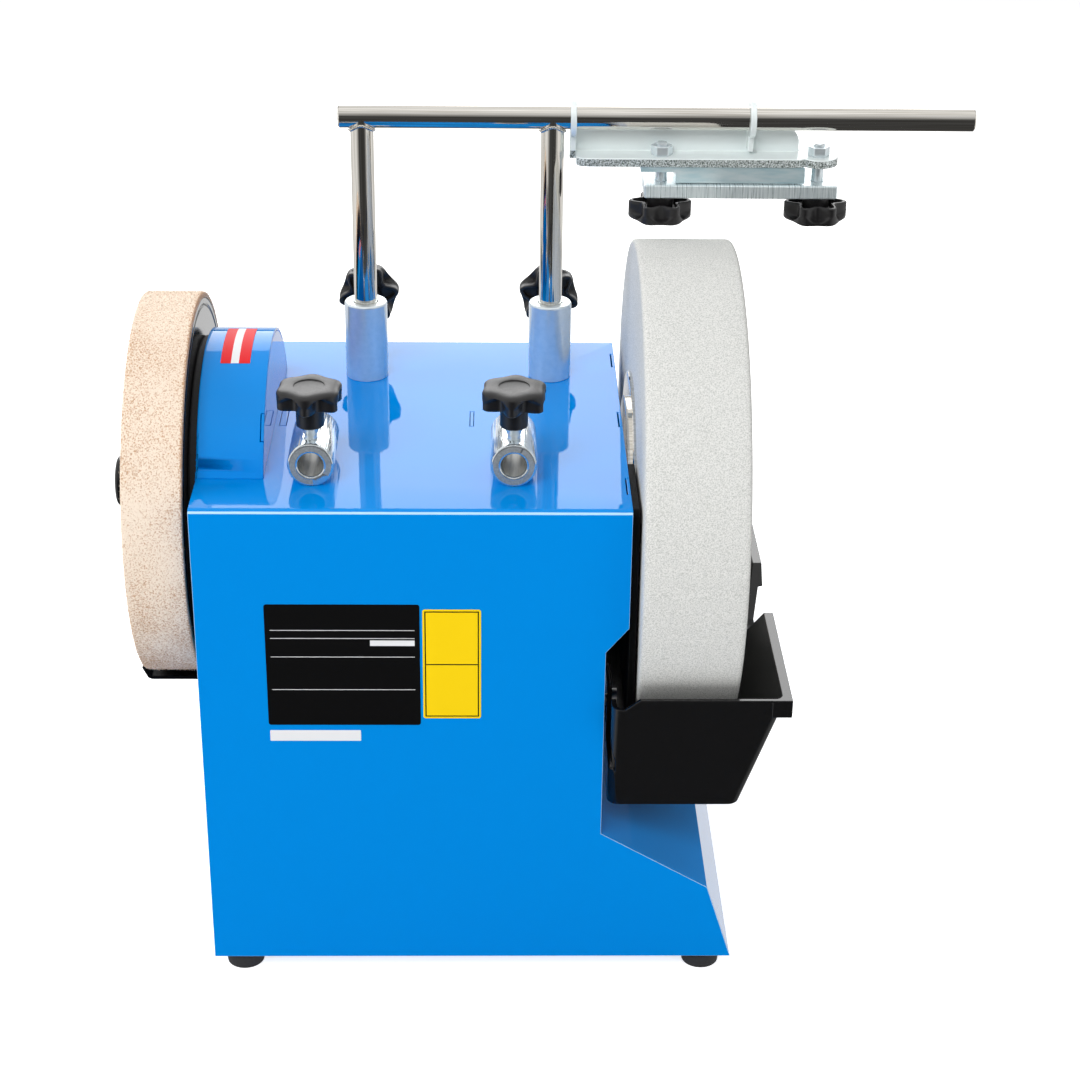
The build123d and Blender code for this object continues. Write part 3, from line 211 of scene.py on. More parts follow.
EVEN = (1.5, 1.5, 1.5)
CHROME = ("#C2BDB4", "#EBE8E2", (0.04, 0.1))
finishes.update({
    # Ground: grey, with lines along the shaft that stretch its highlights
    "bare_steel": metal("ground_steel", "#8F8D8B", "#C9C8C6", (0.25, 0.4), (20, 0.5, 0.5), 0.008),
    # Plated in a bath: a pale, bluish white with soft highlights
    "zinc_plating": metal("bright_zinc", "#DDE7EC", "#E9F0F3", (0.22, 0.26), (3, 3, 3), 0.001, 0.65),
    # Plated over drawn stock: a warm mirror, streaked along the bar
    "chrome_plating": metal("chrome_plating", *CHROME, (60, 0.8, 0.8), 0.002),
    # The same chrome, streaked along the upright posts
    "chrome_posts": metal("chrome_plating_posts", *CHROME, (0.8, 0.8, 60), 0.002),
    # Cast in sand: grey and dull, with a coarse skin
    "cast_aluminium": metal("cast_aluminium", "#8E8F91", "#BFC0C2", (0.4, 0.55), EVEN, 0.05),
    # Pressed from powder: yellow-brown, dull and finely pitted
    "bearing_bronze": metal("sintered_bronze", "#8A6B3C", "#B99660", (0.35, 0.5), EVEN, 0.02),
    # Buffed before plating: bright enough to mirror the room
    "polished_zinc": metal("polished_zinc", "#D8E0E4", "#EAF0F2", (0.12, 0.16), (3, 3, 3), 0.0, 0.88),
    # Left as drawn: a dull grey bore with lines along it
    "tube_bore": metal("drawn_tube_bore", "#94948F", "#B4B4AE", (0.35, 0.45), (0.8, 12, 0.8), 0.0, 0.3),
    # Sawn, then plated: pale, with close lines across the bar
    "sawn_zinc": metal("sawn_zinc", "#BCC9CC", "#E9F1F2", (0.25, 0.4), (0.5, 20, 20), 0.003, 0.5),
    # Rolled, then plated: bluish, with broad soft patches
    "plated_strip": metal("zinc_plated_strip", "#BFDCE4", "#E2F1F4", (0.14, 0.2), (12, 12, 3), 0.0, 0.5),
})
print(len(finishes), "finishes so far")

# %% [markdown]
# ## Sheet of the jig
# The jig's sheet was cut before plating. Its broad faces are pale and even, and the cut edge along the
# front is darker and speckled. The edge needs no piece of its own, because the finish can tell it apart:
# it faces forward, and it lies no higher than the sheet is thick. Its spots are drawn 0.8 mm wide, coarser
# than real ones, so that they show.

# %% Jig sheet
JIG_SHEET = 4.0
FACES_FORWARD = -0.4


def cut_sheet():
    """Zinc-plated sheet: pale and even, with dark speckles along its cut edge."""
    material, tree, shader, place = start("zinc_plated_sheet", "#F0F8F8", Metallic=0.15, Roughness=0.2)
    surface = add(tree, "ShaderNodeNewGeometry")
    facing = add(tree, "ShaderNodeSeparateXYZ", links={0: surface.outputs["Normal"]}).outputs
    spot = add(tree, "ShaderNodeSeparateXYZ", links={0: place}).outputs
    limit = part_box("jig_bracket")[0].z + JIG_SHEET * MM
    front = add(tree, "ShaderNodeMath", {1: FACES_FORWARD}, {0: facing["Y"]}, operation="LESS_THAN")
    deck = add(tree, "ShaderNodeMath", {1: limit}, {0: spot["Z"]}, operation="LESS_THAN")
    edge = add(tree, "ShaderNodeMath", {}, {0: front, 1: deck}, operation="MULTIPLY")
    scaled = add(tree, "ShaderNodeMapping", {"Scale": per_metre(0.8, 0.8, 0.8)}, {"Vector": place})
    spots = add(tree, "ShaderNodeTexNoise", {"Scale": 1.0, "Detail": 3.0}, {"Vector": scaled})
    cut = add(tree, "ShaderNodeMath", {}, {0: edge, 1: spots}, operation="MULTIPLY")
    share = add(tree, "ShaderNodeMapRange", {"From Min": 0.3, "From Max": 0.62}, {"Value": cut})
    colours = {MIX_A: linear("#F0F8F8"), MIX_B: linear("#59635F")}
    tint = add(tree, "ShaderNodeMix", colours, {0: share}, data_type="RGBA")
    tree.links.new(tint.outputs[MIX_RESULT], shader.inputs["Base Color"])
    return material


finishes["plated_sheet"] = cut_sheet()
print(finishes["plated_sheet"].name)

# %% [markdown]
# ## Stone
# The stone is bonded grit: pale grains with darker pores between them, and no shine at all. Noise with
# several levels of detail gives both, as colour and as relief. The real grains are finer than a tenth of
# a millimetre. They are drawn 0.6 mm wide so that they show.

# %% Stone finish
def grit_stone():
    """Bonded grit: a dull, pale grey that looks dry and sandy."""
    material, tree, shader, place = start(
        "bonded_grit_stone", "#D3D6D3", Roughness=0.9, Specular_IOR_Level=0.2)
    scaled = add(tree, "ShaderNodeMapping", {"Scale": per_metre(0.6, 0.6, 0.6)}, {"Vector": place})
    grit = add(tree, "ShaderNodeTexNoise", {"Scale": 1.0, "Detail": 4.0}, {"Vector": scaled})
    share = add(tree, "ShaderNodeMapRange", {"From Min": 0.32, "From Max": 0.6}, {"Value": grit})
    colours = {MIX_A: linear("#BDBFBB"), MIX_B: linear("#E8E8E5")}
    tint = add(tree, "ShaderNodeMix", colours, {0: share}, data_type="RGBA")
    tree.links.new(tint.outputs[MIX_RESULT], shader.inputs["Base Color"])
    bump = add(tree, "ShaderNodeBump", {"Strength": 1.0, "Distance": 0.06 * MM}, {"Height": grit})
    tree.links.new(bump.outputs[0], shader.inputs["Normal"])
    return material


finishes["ceramic_stone"] = grit_stone()
print(finishes["ceramic_stone"].name)

# %% [markdown]
# ## Leather
# The strop is tanned leather, cream with brown pores, and they lie closer together along the worn cut edge.
# Low on the wheel they are drawn closer together too, as painted shade. One noise gives the pores and a
# coarse one gives patches. The edge's wear and the painted shade are taken off their sum, so that they draw
# the pores together and leave no stain of their own. The real pores are finer than 0.8 mm. They are drawn
# that wide so that they show.

# %% Leather finish
PATCH_SHARE = 0.25
# Painted shade low on the wheel: full 100 mm below the spindle, none from 20 mm below it. The worn edge is
# 1.6 mm wide.
LOW_SHADE_FULL, LOW_SHADE_NONE, WEAR_EDGE = 100.0, 20.0, 1.6


def strop_leather():
    """Tanned leather: dull cream with brown pores, darker along its worn edge and, as painted shade, low
    down.
    """
    material, tree, shader, place = start(
        "strop_leather", "#F5DFC8", Roughness=0.85, Specular_IOR_Level=0.25)
    fine = add(tree, "ShaderNodeMapping", {"Scale": per_metre(0.8, 0.8, 0.8)}, {"Vector": place})
    pores = add(tree, "ShaderNodeTexNoise", {"Scale": 1.0, "Detail": 3.0}, {"Vector": fine})
    coarse = add(tree, "ShaderNodeMapping", {"Scale": per_metre(25, 30, 30)}, {"Vector": place})
    patches = add(tree, "ShaderNodeTexNoise", {"Scale": 1.0, "Detail": 1.0}, {"Vector": coarse})
    marks = add(tree, "ShaderNodeMath", {1: PATCH_SHARE}, {0: patches, 2: pores}, operation="MULTIPLY_ADD")
    spot = add(tree, "ShaderNodeSeparateXYZ", links={0: place}).outputs
    # Painted shade: the pores close up towards the bottom of the wheel.
    below = {"From Min": spindle.z - LOW_SHADE_FULL * MM, "From Max": spindle.z - LOW_SHADE_NONE * MM}
    beside = {"From Min": leather_high.x - WEAR_EDGE * MM, "From Max": leather_high.x}
    # Z darkens the lower wheel as painted shade, X darkens the worn cut edge.
    for axis, limits, change in (("Z", below, (-0.15, 0.0)), ("X", beside, (0.0, -0.2))):
        limits.update({"To Min": change[0], "To Max": change[1]})
        shade_and_wear = add(tree, "ShaderNodeMapRange", limits, {"Value": spot[axis]})
        marks = add(tree, "ShaderNodeMath", {}, {0: marks, 1: shade_and_wear}, operation="ADD")
    share = add(tree, "ShaderNodeMapRange", {"From Min": 0.445, "From Max": 0.635}, {"Value": marks})
    colours = {MIX_A: linear("#CDA583"), MIX_B: linear("#F6E6D4")}
    tint = add(tree, "ShaderNodeMix", colours, {0: share}, data_type="RGBA")
    tree.links.new(tint.outputs[MIX_RESULT], shader.inputs["Base Color"])
    bump = add(tree, "ShaderNodeBump", {"Strength": 1.0, "Distance": 0.1 * MM}, {"Height": pores})
    tree.links.new(bump.outputs[0], shader.inputs["Normal"])
    return material


finishes["tan_leather"] = strop_leather()
print(finishes["tan_leather"].name)

# %% [markdown]
# ## Plastics and rubber
# Moulded plastic is nearly black here, and what tells the pieces apart is the gloss: the honing wheel and
# the trough are shiny, the knobs are satin, the guard and the drip tray are matte, and the feet are dull
# rubber. One function makes them all from a colour, a roughness and the texture that the mould left.

# %% Plastics
def plastic(name, colour, rough, texture, depth, specular=0.5):
    """A moulded plastic whose texture, so many millimetres wide, breaks its gloss."""
    material, tree, shader, place = start(name, colour, Specular_IOR_Level=specular)
    scale = per_metre(texture, texture, texture)
    scaled = add(tree, "ShaderNodeMapping", {"Scale": scale}, {"Vector": place})
    mould = add(tree, "ShaderNodeTexNoise", {"Scale": 1.0, "Detail": 2.0}, {"Vector": scaled})
    limits = {**NOISE_SPAN, "To Min": rough * 0.85, "To Max": rough * 1.15}
    gloss = add(tree, "ShaderNodeMapRange", limits, {"Value": mould})
    tree.links.new(gloss.outputs[0], shader.inputs["Roughness"])
    bump = add(tree, "ShaderNodeBump", {"Strength": 1.0, "Distance": depth * MM}, {"Height": mould})
    tree.links.new(bump.outputs[0], shader.inputs["Normal"])
    return material


finishes.update({
    # Moulded rubber: charcoal and dull, without a clear reflection
    "black_rubber": plastic("black_rubber", "#3A3A3B", 0.7, 0.8, 0.03, 0.3),
    # Moulded in a polished mould: deep black with clear reflections
    "black_plastic": plastic("gloss_black_plastic", "#0E0E0F", 0.1, 1.2, 0.001),
    # Moulded in a blasted mould: black with broad, soft highlights
    "knob_plastic": plastic("satin_black_plastic", "#161516", 0.42, 0.5, 0.006, 0.6),
    # Moulded thin: black with slightly blurred reflections
    "trough_plastic": plastic("gloss_moulded_plastic", "#111112", 0.14, 0.7, 0.001),
    # Moulded in a coarse mould: the darkest black, almost without highlights
    "matte_plastic": plastic("matte_black_plastic", "#060607", 0.6, 0.7, 0.01, 0.1),
})
for name, node in frame["nodes"].items():
    node.data.materials.clear()
    node.data.materials.append(finishes[slot_of[name]])
print(len(finishes), "finishes for", len(slot_of), "solids")

# %% [markdown]
# ## Helpers for pieces
# A new mesh goes through the same steps each time: it is closed and smoothed, it gets a finish, and it
# rides its body. Modifiers are turned into plain mesh before that, because a piece has to be final when
# it is given to its body.

# %% Piece helpers
MERGE = 0.001 * MM


def dressed(item, material, body, nodes=()):
    """Puts an object in the scene with its finish, on its body."""
    if item.name not in scene.collection.objects:
        scene.collection.objects.link(item)
    item.data.materials.clear()
    item.data.materials.append(material)
    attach(item, body)
    if nodes:
        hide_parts(*nodes)
    print(item.name, len(item.data.polygons), "faces")
    return item


def smooth(mesh, sharp):
    """Smooth shading that stops at edges sharper than an angle in degrees."""
    mesh.polygons.foreach_set("use_smooth", [True] * len(mesh.polygons))
    mesh.set_sharp_from_angle(angle=radians(sharp))


def closed(name, shape, sharp=30):
    """An object from a bmesh, with doubles merged and faces turned outward."""
    bmesh.ops.remove_doubles(shape, verts=shape.verts, dist=MERGE)
    bmesh.ops.recalc_face_normals(shape, faces=shape.faces)
    mesh = bpy.data.meshes.new(name)
    shape.to_mesh(mesh)
    shape.free()
    smooth(mesh, sharp)
    return bpy.data.objects.new(name, mesh)


def settled(item):
    """Turns an object's modifiers into plain mesh."""
    graph = bpy.context.evaluated_depsgraph_get()
    mesh = bpy.data.meshes.new_from_object(item.evaluated_get(graph))
    item.modifiers.clear()
    item.data = mesh
    return item


# %% [markdown]
# ## Sheet metal, sleeves and jig
# These keep the exact form of their solids. Only the edges change, because no real edge is perfectly
# sharp: a bent sheet has a small radius, and a turned sleeve a wider one that catches the light as a
# white ring. Each solid is copied, its triangles are joined into whole faces, and Bevel breaks the edges
# between them.

# %% Broken edges
HARD_EDGE = 35
FLAT_JOIN = 0.3
BEVEL_STEPS = 2


def softened(node, width, material=None):
    """A copy of a solid with its hard edges broken by so many millimetres."""
    shape = bmesh.new()
    shape.from_mesh(frame["nodes"][node].data)
    bmesh.ops.remove_doubles(shape, verts=shape.verts, dist=MERGE)
    bmesh.ops.dissolve_limit(
        shape, angle_limit=radians(FLAT_JOIN), verts=shape.verts, edges=shape.edges)
    item = closed(f"{node}_dressed", shape, HARD_EDGE)
    if "custom_normal" in item.data.attributes:
        item.data.attributes.remove(item.data.attributes["custom_normal"])
    scene.collection.objects.link(item)
    edges = item.modifiers.new("edges", "BEVEL")
    edges.width = width * MM
    edges.segments = BEVEL_STEPS
    edges.angle_limit = radians(HARD_EDGE)
    edges.harden_normals = True
    edges.use_clamp_overlap = False
    settled(item)
    slot = slot_of[node]
    return dressed(item, material or finishes[slot], frame["nodes"][node]["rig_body"], [node])


edge_widths = {
    "housing_shell": 0.3, "right_side_panel": 0.3, "left_side_panel": 0.3, "drive_hood": 0.4,
    "hood_side_plate": 0.3, "splash_guard": 0.5, "water_trough": 0.5, "drip_tray": 0.3,
    "post_sleeve_left": 0.5, "post_sleeve_right": 0.5, "rest_sleeve_left": 0.5, "rest_sleeve_right": 0.5,
    "jig_bracket": 0.5, "jig_stop_strip": 0.4, "jig_clamp_bar": 0.3, "jig_nuts": 0.5,
    "honing_wheel": 0.6, "honing_knob": 1.0, "drive_wheel": 0.8, "switch_body": 0.5,
}
own_finish = {
    "water_trough": "trough_plastic", "splash_guard": "matte_plastic", "drip_tray": "matte_plastic",
    "jig_clamp_bar": "sawn_zinc", "jig_bracket": "plated_sheet", "jig_stop_strip": "plated_strip",
    "rest_sleeve_left": "polished_zinc", "rest_sleeve_right": "polished_zinc",
}
dressings = {
    node: softened(node, width, finishes.get(own_finish.get(node))) for node, width in edge_widths.items()}

# %% [markdown]
# ## Bores of the lying sleeves
# The sleeves were plated outside only, so the bores of the two lying ones stay dull. Each object here has
# one finish, so the faces close to a bore's axis are moved to an object of their own.

# %% Bores
BORE = 6.05 * MM
for side in ("left", "right"):
    node = f"rest_sleeve_{side}"
    low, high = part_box(node)
    axis_x = (low.x + high.x) / 2
    axis_z = high.z - (high.x - low.x) / 2
    lining = bmesh.new()
    lining.from_mesh(dressings[node].data)
    shell = lining.copy()
    for shape, keep_bore in ((lining, True), (shell, False)):
        spots = {face: face.calc_center_median() for face in shape.faces}
        away = [face for face, spot in spots.items()
                if (((spot.x - axis_x) ** 2 + (spot.z - axis_z) ** 2) ** 0.5 < BORE) != keep_bore]
        bmesh.ops.delete(shape, geom=away, context="FACES")
    shell.to_mesh(dressings[node].data)
    shell.free()
    smooth(dressings[node].data, HARD_EDGE)
    lined = closed(f"{node}_bore", lining, HARD_EDGE)
    dressed(lined, finishes["tube_bore"], "casing", [node])

# %% [markdown]
# ## Turned pieces
# Stone, leather band, knobs, bar and posts are all round. A helper sweeps a profile, given as pairs of
# (along, radius), round an axis. Blender's Screw modifier could do that too, but the helper can also change
# the radius on its way round, which waves and lobes need. A second one rounds a profile's corner.

# %% Turning helpers
def turned(shape, centre, axis, profile, steps, reach=None):
    """Sweeps (along, radius) pairs in mm round an axis. reach(angle, along, radius) may change a radius."""
    axis = Vector(axis)
    across = Vector((1, 0, 0)) if abs(axis.x) < 0.5 else Vector((0, 1, 0))
    third = axis.cross(across)
    rings = []
    for along, radius in profile:
        ring = []
        for k in range(steps):
            angle = tau * k / steps
            out = reach(angle, along, radius) if reach else radius
            spoke = across * cos(angle) + third * sin(angle)
            ring.append(shape.verts.new(centre + (axis * along + spoke * out) * MM))
        rings.append(ring)
    for low, high in zip(rings, rings[1:]):
        for k in range(steps):
            shape.faces.new((low[k - 1], low[k], high[k], high[k - 1]))
    if profile[0] == profile[-1]:
        return
    for ring, (along, radius) in zip((rings[0], rings[-1]), (profile[0], profile[-1])):
        if radius:
            shape.faces.new(ring)


def corner(along, radius, size, first, last, count=5):
    """Points on an arc of a profile's corner, from one angle to another in degrees."""
    turns = [radians(first + (last - first) * i / count) for i in range(count + 1)]
    return [(along + size * cos(t), radius + size * sin(t)) for t in turns]


# %% [markdown]
# ## Grinding stone
# The stone is turned from a profile with rounded corners. A little waviness, a few hundredths of a
# millimetre, keeps its rim from looking machined like steel.

# %% Stone
STONE_STEPS = 240
STONE_WAVE, STONE_WAVE_LENGTH = 0.08, 40
stone_low, stone_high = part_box("grinding_stone")
stone_radius = (stone_high.y - stone_low.y) / 2 / MM
stone_width = (stone_high.x - stone_low.x) / MM
stone_bore = 7.1
stone_corner = 2.5


def wavy(angle, along, radius):
    """The stone's radius wanders a little, but its bore stays true."""
    point = Vector((along, radius * cos(angle), radius * sin(angle))) / STONE_WAVE_LENGTH
    return radius + STONE_WAVE * noise(point) if radius > stone_bore else radius


body = bmesh.new()
rim_radius = stone_radius - stone_corner
profile = [(0.0, stone_bore)]
profile += corner(stone_corner, rim_radius, stone_corner, 180, 90)
profile += [(stone_width * share, stone_radius) for share in (0.25, 0.5, 0.75)]
profile += corner(stone_width - stone_corner, rim_radius, stone_corner, 90, 0)
profile += [(stone_width, stone_bore), (0.0, stone_bore)]
turned(body, Vector((stone_low.x, spindle.y, spindle.z)), (1, 0, 0), profile, STONE_STEPS, wavy)
dressed(
    closed("stone_turned", body), finishes["ceramic_stone"], "spindle",
    ["grinding_stone"])

# %% [markdown]
# ## Leather band
# The band is a strip of leather glued round the honing wheel. It is turned as the stone is, with soft
# edges and more waviness, because leather gives way under a blade.

# %% Leather band
BAND_STEPS = 220
LEATHER_WAVE, LEATHER_WAVE_LENGTH = 0.22, 9
leather_radius = (leather_high.y - leather_low.y) / 2 / MM
leather_width = (leather_high.x - leather_low.x) / MM
leather_thickness = 3.0
leather_corner = 1.0
inner_radius = leather_radius - leather_thickness


def worn(angle, along, radius):
    """Leather gives way a little, but its inside stays on the wheel."""
    point = Vector((along, radius * cos(angle), radius * sin(angle))) / LEATHER_WAVE_LENGTH
    return radius + LEATHER_WAVE * noise(point) if radius > inner_radius else radius


band = bmesh.new()
rim_radius = leather_radius - leather_corner
profile = [(0.0, inner_radius)]
profile += corner(leather_corner, rim_radius, leather_corner, 180, 90)
profile += [(leather_width * share, leather_radius) for share in (0.2, 0.4, 0.6, 0.8)]
profile += corner(leather_width - leather_corner, rim_radius, leather_corner, 90, 0)
profile += [(leather_width, inner_radius), (0.0, inner_radius)]
turned(band, Vector((leather_low.x, spindle.y, spindle.z)), (1, 0, 0), profile, BAND_STEPS, worn)
strop = dressed(
    closed("leather_band", band), finishes["tan_leather"], "spindle", ["honing_leather"])

# %% [markdown]
# ## Helpers for Geometry Nodes
# What repeats is grown by a node tree: the leather's nap, the weld beads and the threads. Each tree has
# named inputs for its sizes, so that it can be used again with others. It ends by realizing its instances
# into plain mesh, and it is run once on an object that then keeps only the result.

# %% Geometry Nodes helpers
def new_tree(name, inputs):
    """A geometry tree with named inputs: (tree, group input sockets, group output)."""
    tree = bpy.data.node_groups.new(name, "GeometryNodeTree")
    tree.interface.new_socket("Geometry", in_out="OUTPUT", socket_type="NodeSocketGeometry")
    for label, kind in inputs.items():
        tree.interface.new_socket(label, in_out="INPUT", socket_type=f"NodeSocket{kind}")
    return tree, add(tree, "NodeGroupInput").outputs, add(tree, "NodeGroupOutput")


def close_tree(tree, output, instances, finish):
    """Ends a tree: realize the instances, smooth them, set their material."""
    real = add(tree, "GeometryNodeRealizeInstances", links={"Geometry": instances})
    soft = add(tree, "GeometryNodeSetShadeSmooth", links={"Geometry": real})
    painted = add(tree, "GeometryNodeSetMaterial", links={"Geometry": soft, "Material": finish})
    tree.links.new(painted.outputs[0], output.inputs[0])


def grown(name, tree, values, base=None):
    """Runs a tree once on a mesh and keeps the result as a plain object."""
    item = bpy.data.objects.new(name, base or bpy.data.meshes.new(name))
    scene.collection.objects.link(item)
    nodes = item.modifiers.new("tree", "NODES")
    nodes.node_group = tree
    for socket in tree.interface.items_tree:
        if socket.in_out == "INPUT" and socket.name in values:
            nodes[socket.identifier] = values[socket.name]
    return settled(item)


# %% [markdown]
# ## Nap of the leather
# Honing raises a short nap on the leather. Bump alone would leave the band's outline smooth, so points
# are scattered over the band's outer side, and a thin three-sided fibre stands on each with a random
# lean. The fibres are thicker and fewer than real ones, so that they show.

# %% Leather nap
tree, given, output = new_tree("nap", {
    "Geometry": "Geometry", "Density": "Float", "Length": "Float", "Thickness": "Float",
    "Lean": "Float", "Seed": "Int", "Finish": "Material"})
points = add(
    tree, "GeometryNodeDistributePointsOnFaces",
    links={"Mesh": given["Geometry"], "Density": given["Density"], "Seed": given["Seed"]})
fibre = add(
    tree, "GeometryNodeMeshCone", {"Vertices": 3, "Radius Top": 0.0},
    {"Radius Bottom": given["Thickness"], "Depth": given["Length"]})
lean = add(tree, "FunctionNodeRandomValue", {}, {"Seed": given["Seed"]}, data_type="FLOAT_VECTOR")
tilt = add(tree, "ShaderNodeVectorMath", {1: (0.5, 0.5, 0.5)}, {0: lean}, operation="SUBTRACT")
turn = add(tree, "ShaderNodeVectorMath", {}, {0: tilt, "Scale": given["Lean"]}, operation="SCALE")
rotated = add(
    tree, "FunctionNodeRotateRotation",
    links={"Rotation": points.outputs["Rotation"], "Rotate By": turn}, rotation_space="LOCAL")
placed = add(
    tree, "GeometryNodeInstanceOnPoints",
    links={"Points": points, "Instance": fibre, "Rotation": rotated})
close_tree(tree, output, placed, given["Finish"])
NAP_DEPTH = 0.8
outer = bmesh.new()
outer.from_mesh(strop.data)
inside = [face for face in outer.faces
          if (face.calc_center_median() - spindle).yz.length < (leather_radius - NAP_DEPTH) * MM]
bmesh.ops.delete(outer, geom=inside, context="FACES")
skin = bpy.data.meshes.new("nap_base")
outer.to_mesh(skin)
outer.free()
nap = grown("leather_nap", tree, {
    "Density": 6e5, "Length": 1.1 * MM, "Thickness": 0.09 * MM, "Lean": 2.6,
    "Seed": 7, "Finish": finishes["tan_leather"]}, skin)
dressed(nap, finishes["tan_leather"], "spindle")

# %% [markdown]
# ## Star knobs
# A star knob is moulded round its stud, with six lobes for the fingers. It is turned here like the round
# pieces, with a radius that swells six times round. The profile runs from the stud hole over the hub,
# through the hollow underside, round the rim and over the dished top. Only the outer rings carry the
# lobes, so a profile point there says how far it lies inside the star's outline.

# %% Knobs
KNOB_STEPS = 144
LOBES, LOBE_POWER = 6, 1.2
KNOB_HEAD = 10.0
TIP, CROWN_VALLEY, ROOT_VALLEY = 16.25, 14.5, 11.0
ARCH_TOP, ARCH_DROP, ARCH_EDGE = 8.0, 3.4, 1.0
OUTLINE = 100.0
lobe_turns = {
    "post_knob_left": -10.0, "post_knob_right": 15.0, "rest_knob_left": 25.0, "rest_knob_right": 25.0}


def star(angle, height):
    """Radius of the knob's outline in mm. Each scallop ends below the crown in an arch."""
    lobe = (0.5 + 0.5 * cos(LOBES * angle)) ** LOBE_POWER
    below = min(max((ARCH_TOP - ARCH_DROP * lobe - height) / ARCH_EDGE, 0.0), 1.0)
    valley = CROWN_VALLEY - (CROWN_VALLEY - ROOT_VALLEY) * below
    return valley + (TIP - valley) * lobe


def knob_profile(hub):
    """(along, radius) from the hole to the top. OUTLINE plus an inset stands for the star less the inset."""
    star_points = [(4.0, 2.4), (0.3, 2.2), (0.0, 1.8), (0.0, 0.6)]
    star_points += [(rise, 0.0) for rise in [0.5, 2.0, 3.4] + [3.8 + 0.35 * i for i in range(13)]]
    star_points += [(8.6, 0.2), (9.2, 0.8), (9.7, 1.8), (KNOB_HEAD, 3.6)]
    underside = [(0.0, 0.0), (0.0, 6.2), (0.5, 6.7), (hub + 4.0, 6.7)]
    lobes = [(hub + rise, OUTLINE + inset) for rise, inset in star_points]
    dish = [(hub + KNOB_HEAD, 7.7), (hub + 9.9, 7.4), (hub + 9.5, 7.2), (hub + 9.4, 6.8), (hub + 9.4, 0.0)]
    return underside + lobes + dish


for name in [node for node in frame["nodes"] if node.startswith(("post_knob", "rest_knob", "jig_knob"))]:
    if name.endswith("_stud"):
        continue
    joint = joints[f"{name}_turn"]
    axis = Vector([round(abs(c)) for c in joint["axis"]])
    if name.startswith("jig"):
        axis = -axis
    ends = sorted(point.dot(axis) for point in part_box(name))
    place = Vector(joint["pos_m"])
    seat = place + axis * (ends[0] - place.dot(axis))
    hub = (ends[1] - ends[0]) / MM - KNOB_HEAD
    turn_by = radians(lobe_turns.get(name, 0.0))

    def lobed(angle, along, radius):
        return star(angle - turn_by, along - hub) - (radius - OUTLINE) if radius >= OUTLINE else radius

    shape = bmesh.new()
    turned(shape, seat, axis, knob_profile(hub), KNOB_STEPS, lobed)
    dressed(closed(f"{name}_star", shape, 40), finishes["knob_plastic"], name, [name])

# %% [markdown]
# ## Tool support
# The bar and its two posts are plain round stock, cut to length with small chamfers and chromed. They
# are turned as two objects, because the drawing lines of the chrome run along each.

# %% Bar and posts
ROD_STEPS = 64
CHAMFER = 0.8
bar_mm = 6.0
bar_radius = bar_mm * MM
frame_low, frame_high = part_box("support_frame")
sleeve_low, sleeve_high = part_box("post_sleeve_left")
bar_z = frame_high.z - bar_radius
post_y = (sleeve_low.y + sleeve_high.y) / 2
post_xs = [sum(point.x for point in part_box(f"post_sleeve_{side}")) / 2 for side in ("left", "right")]
bar_length = (frame_high.x - frame_low.x) / MM
post_height = (bar_z - frame_low.z) / MM
rod = bmesh.new()
rod_profile = [(0.0, 0.0), (0.0, bar_mm - CHAMFER), (CHAMFER, bar_mm)]
rod_profile += [(bar_length - CHAMFER, bar_mm), (bar_length, bar_mm - CHAMFER), (bar_length, 0.0)]
turned(rod, Vector((frame_low.x, post_y, bar_z)), (1, 0, 0), rod_profile, ROD_STEPS)
dressed(
    closed("support_bar", rod), finishes["chrome_plating"], "tool_support",
    ["support_frame"])
posts = bmesh.new()
post_profile = [(0, 0), (0, bar_mm - CHAMFER), (CHAMFER, bar_mm), (post_height, bar_mm)]
for post_x in post_xs:
    turned(posts, Vector((post_x, post_y, frame_low.z)), (0, 0, 1), post_profile, ROD_STEPS)
dressed(
    closed("support_posts", posts), finishes["chrome_posts"], "tool_support",
    ["support_frame"])

# %% [markdown]
# ## Weld beads
# Each post is welded to the bar. A weld is a row of beads along the saddle where the two round bars meet.
# A ring of points is lowered onto that saddle: at a distance y from the bar's axis, its surface lies at
# the square root of the radius squared less y squared. A small flattened ball of random size sits on
# each point.

# %% Weld beads
tree, given, output = new_tree("weld", {
    "Bar": "Float", "Bead": "Float", "Count": "Int", "Seed": "Int", "Finish": "Material"})
reach = add(tree, "ShaderNodeMath", {}, {0: given["Bar"], 1: given["Bead"]}, operation="ADD")
ring = add(tree, "GeometryNodeMeshCircle", links={"Vertices": given["Count"], "Radius": given["Bar"]})
position = add(tree, "GeometryNodeInputPosition")
beside = add(tree, "ShaderNodeSeparateXYZ", links={0: position}).outputs["Y"]
beside_square = add(tree, "ShaderNodeMath", {}, {0: beside, 1: beside}, operation="MULTIPLY")
reach_square = add(tree, "ShaderNodeMath", {}, {0: reach, 1: reach}, operation="MULTIPLY")
rest = add(tree, "ShaderNodeMath", {}, {0: reach_square, 1: beside_square}, operation="SUBTRACT")
root = add(tree, "ShaderNodeMath", {}, {0: rest}, operation="SQRT")
down = add(tree, "ShaderNodeMath", {1: -1.0}, {0: root}, operation="MULTIPLY")
offset = add(tree, "ShaderNodeCombineXYZ", links={"Z": down})
saddle = add(tree, "GeometryNodeSetPosition", links={"Geometry": ring, "Offset": offset})
bead = add(tree, "GeometryNodeMeshIcoSphere", {"Subdivisions": 2}, {"Radius": given["Bead"]})
swell = add(
    tree, "FunctionNodeRandomValue", {0: (0.8, 0.8, 0.6), 1: (1.3, 1.3, 1.0)}, {"Seed": given["Seed"]},
    data_type="FLOAT_VECTOR")
placed = add(
    tree, "GeometryNodeInstanceOnPoints", links={"Points": saddle, "Instance": bead, "Scale": swell})
close_tree(tree, output, placed, given["Finish"])
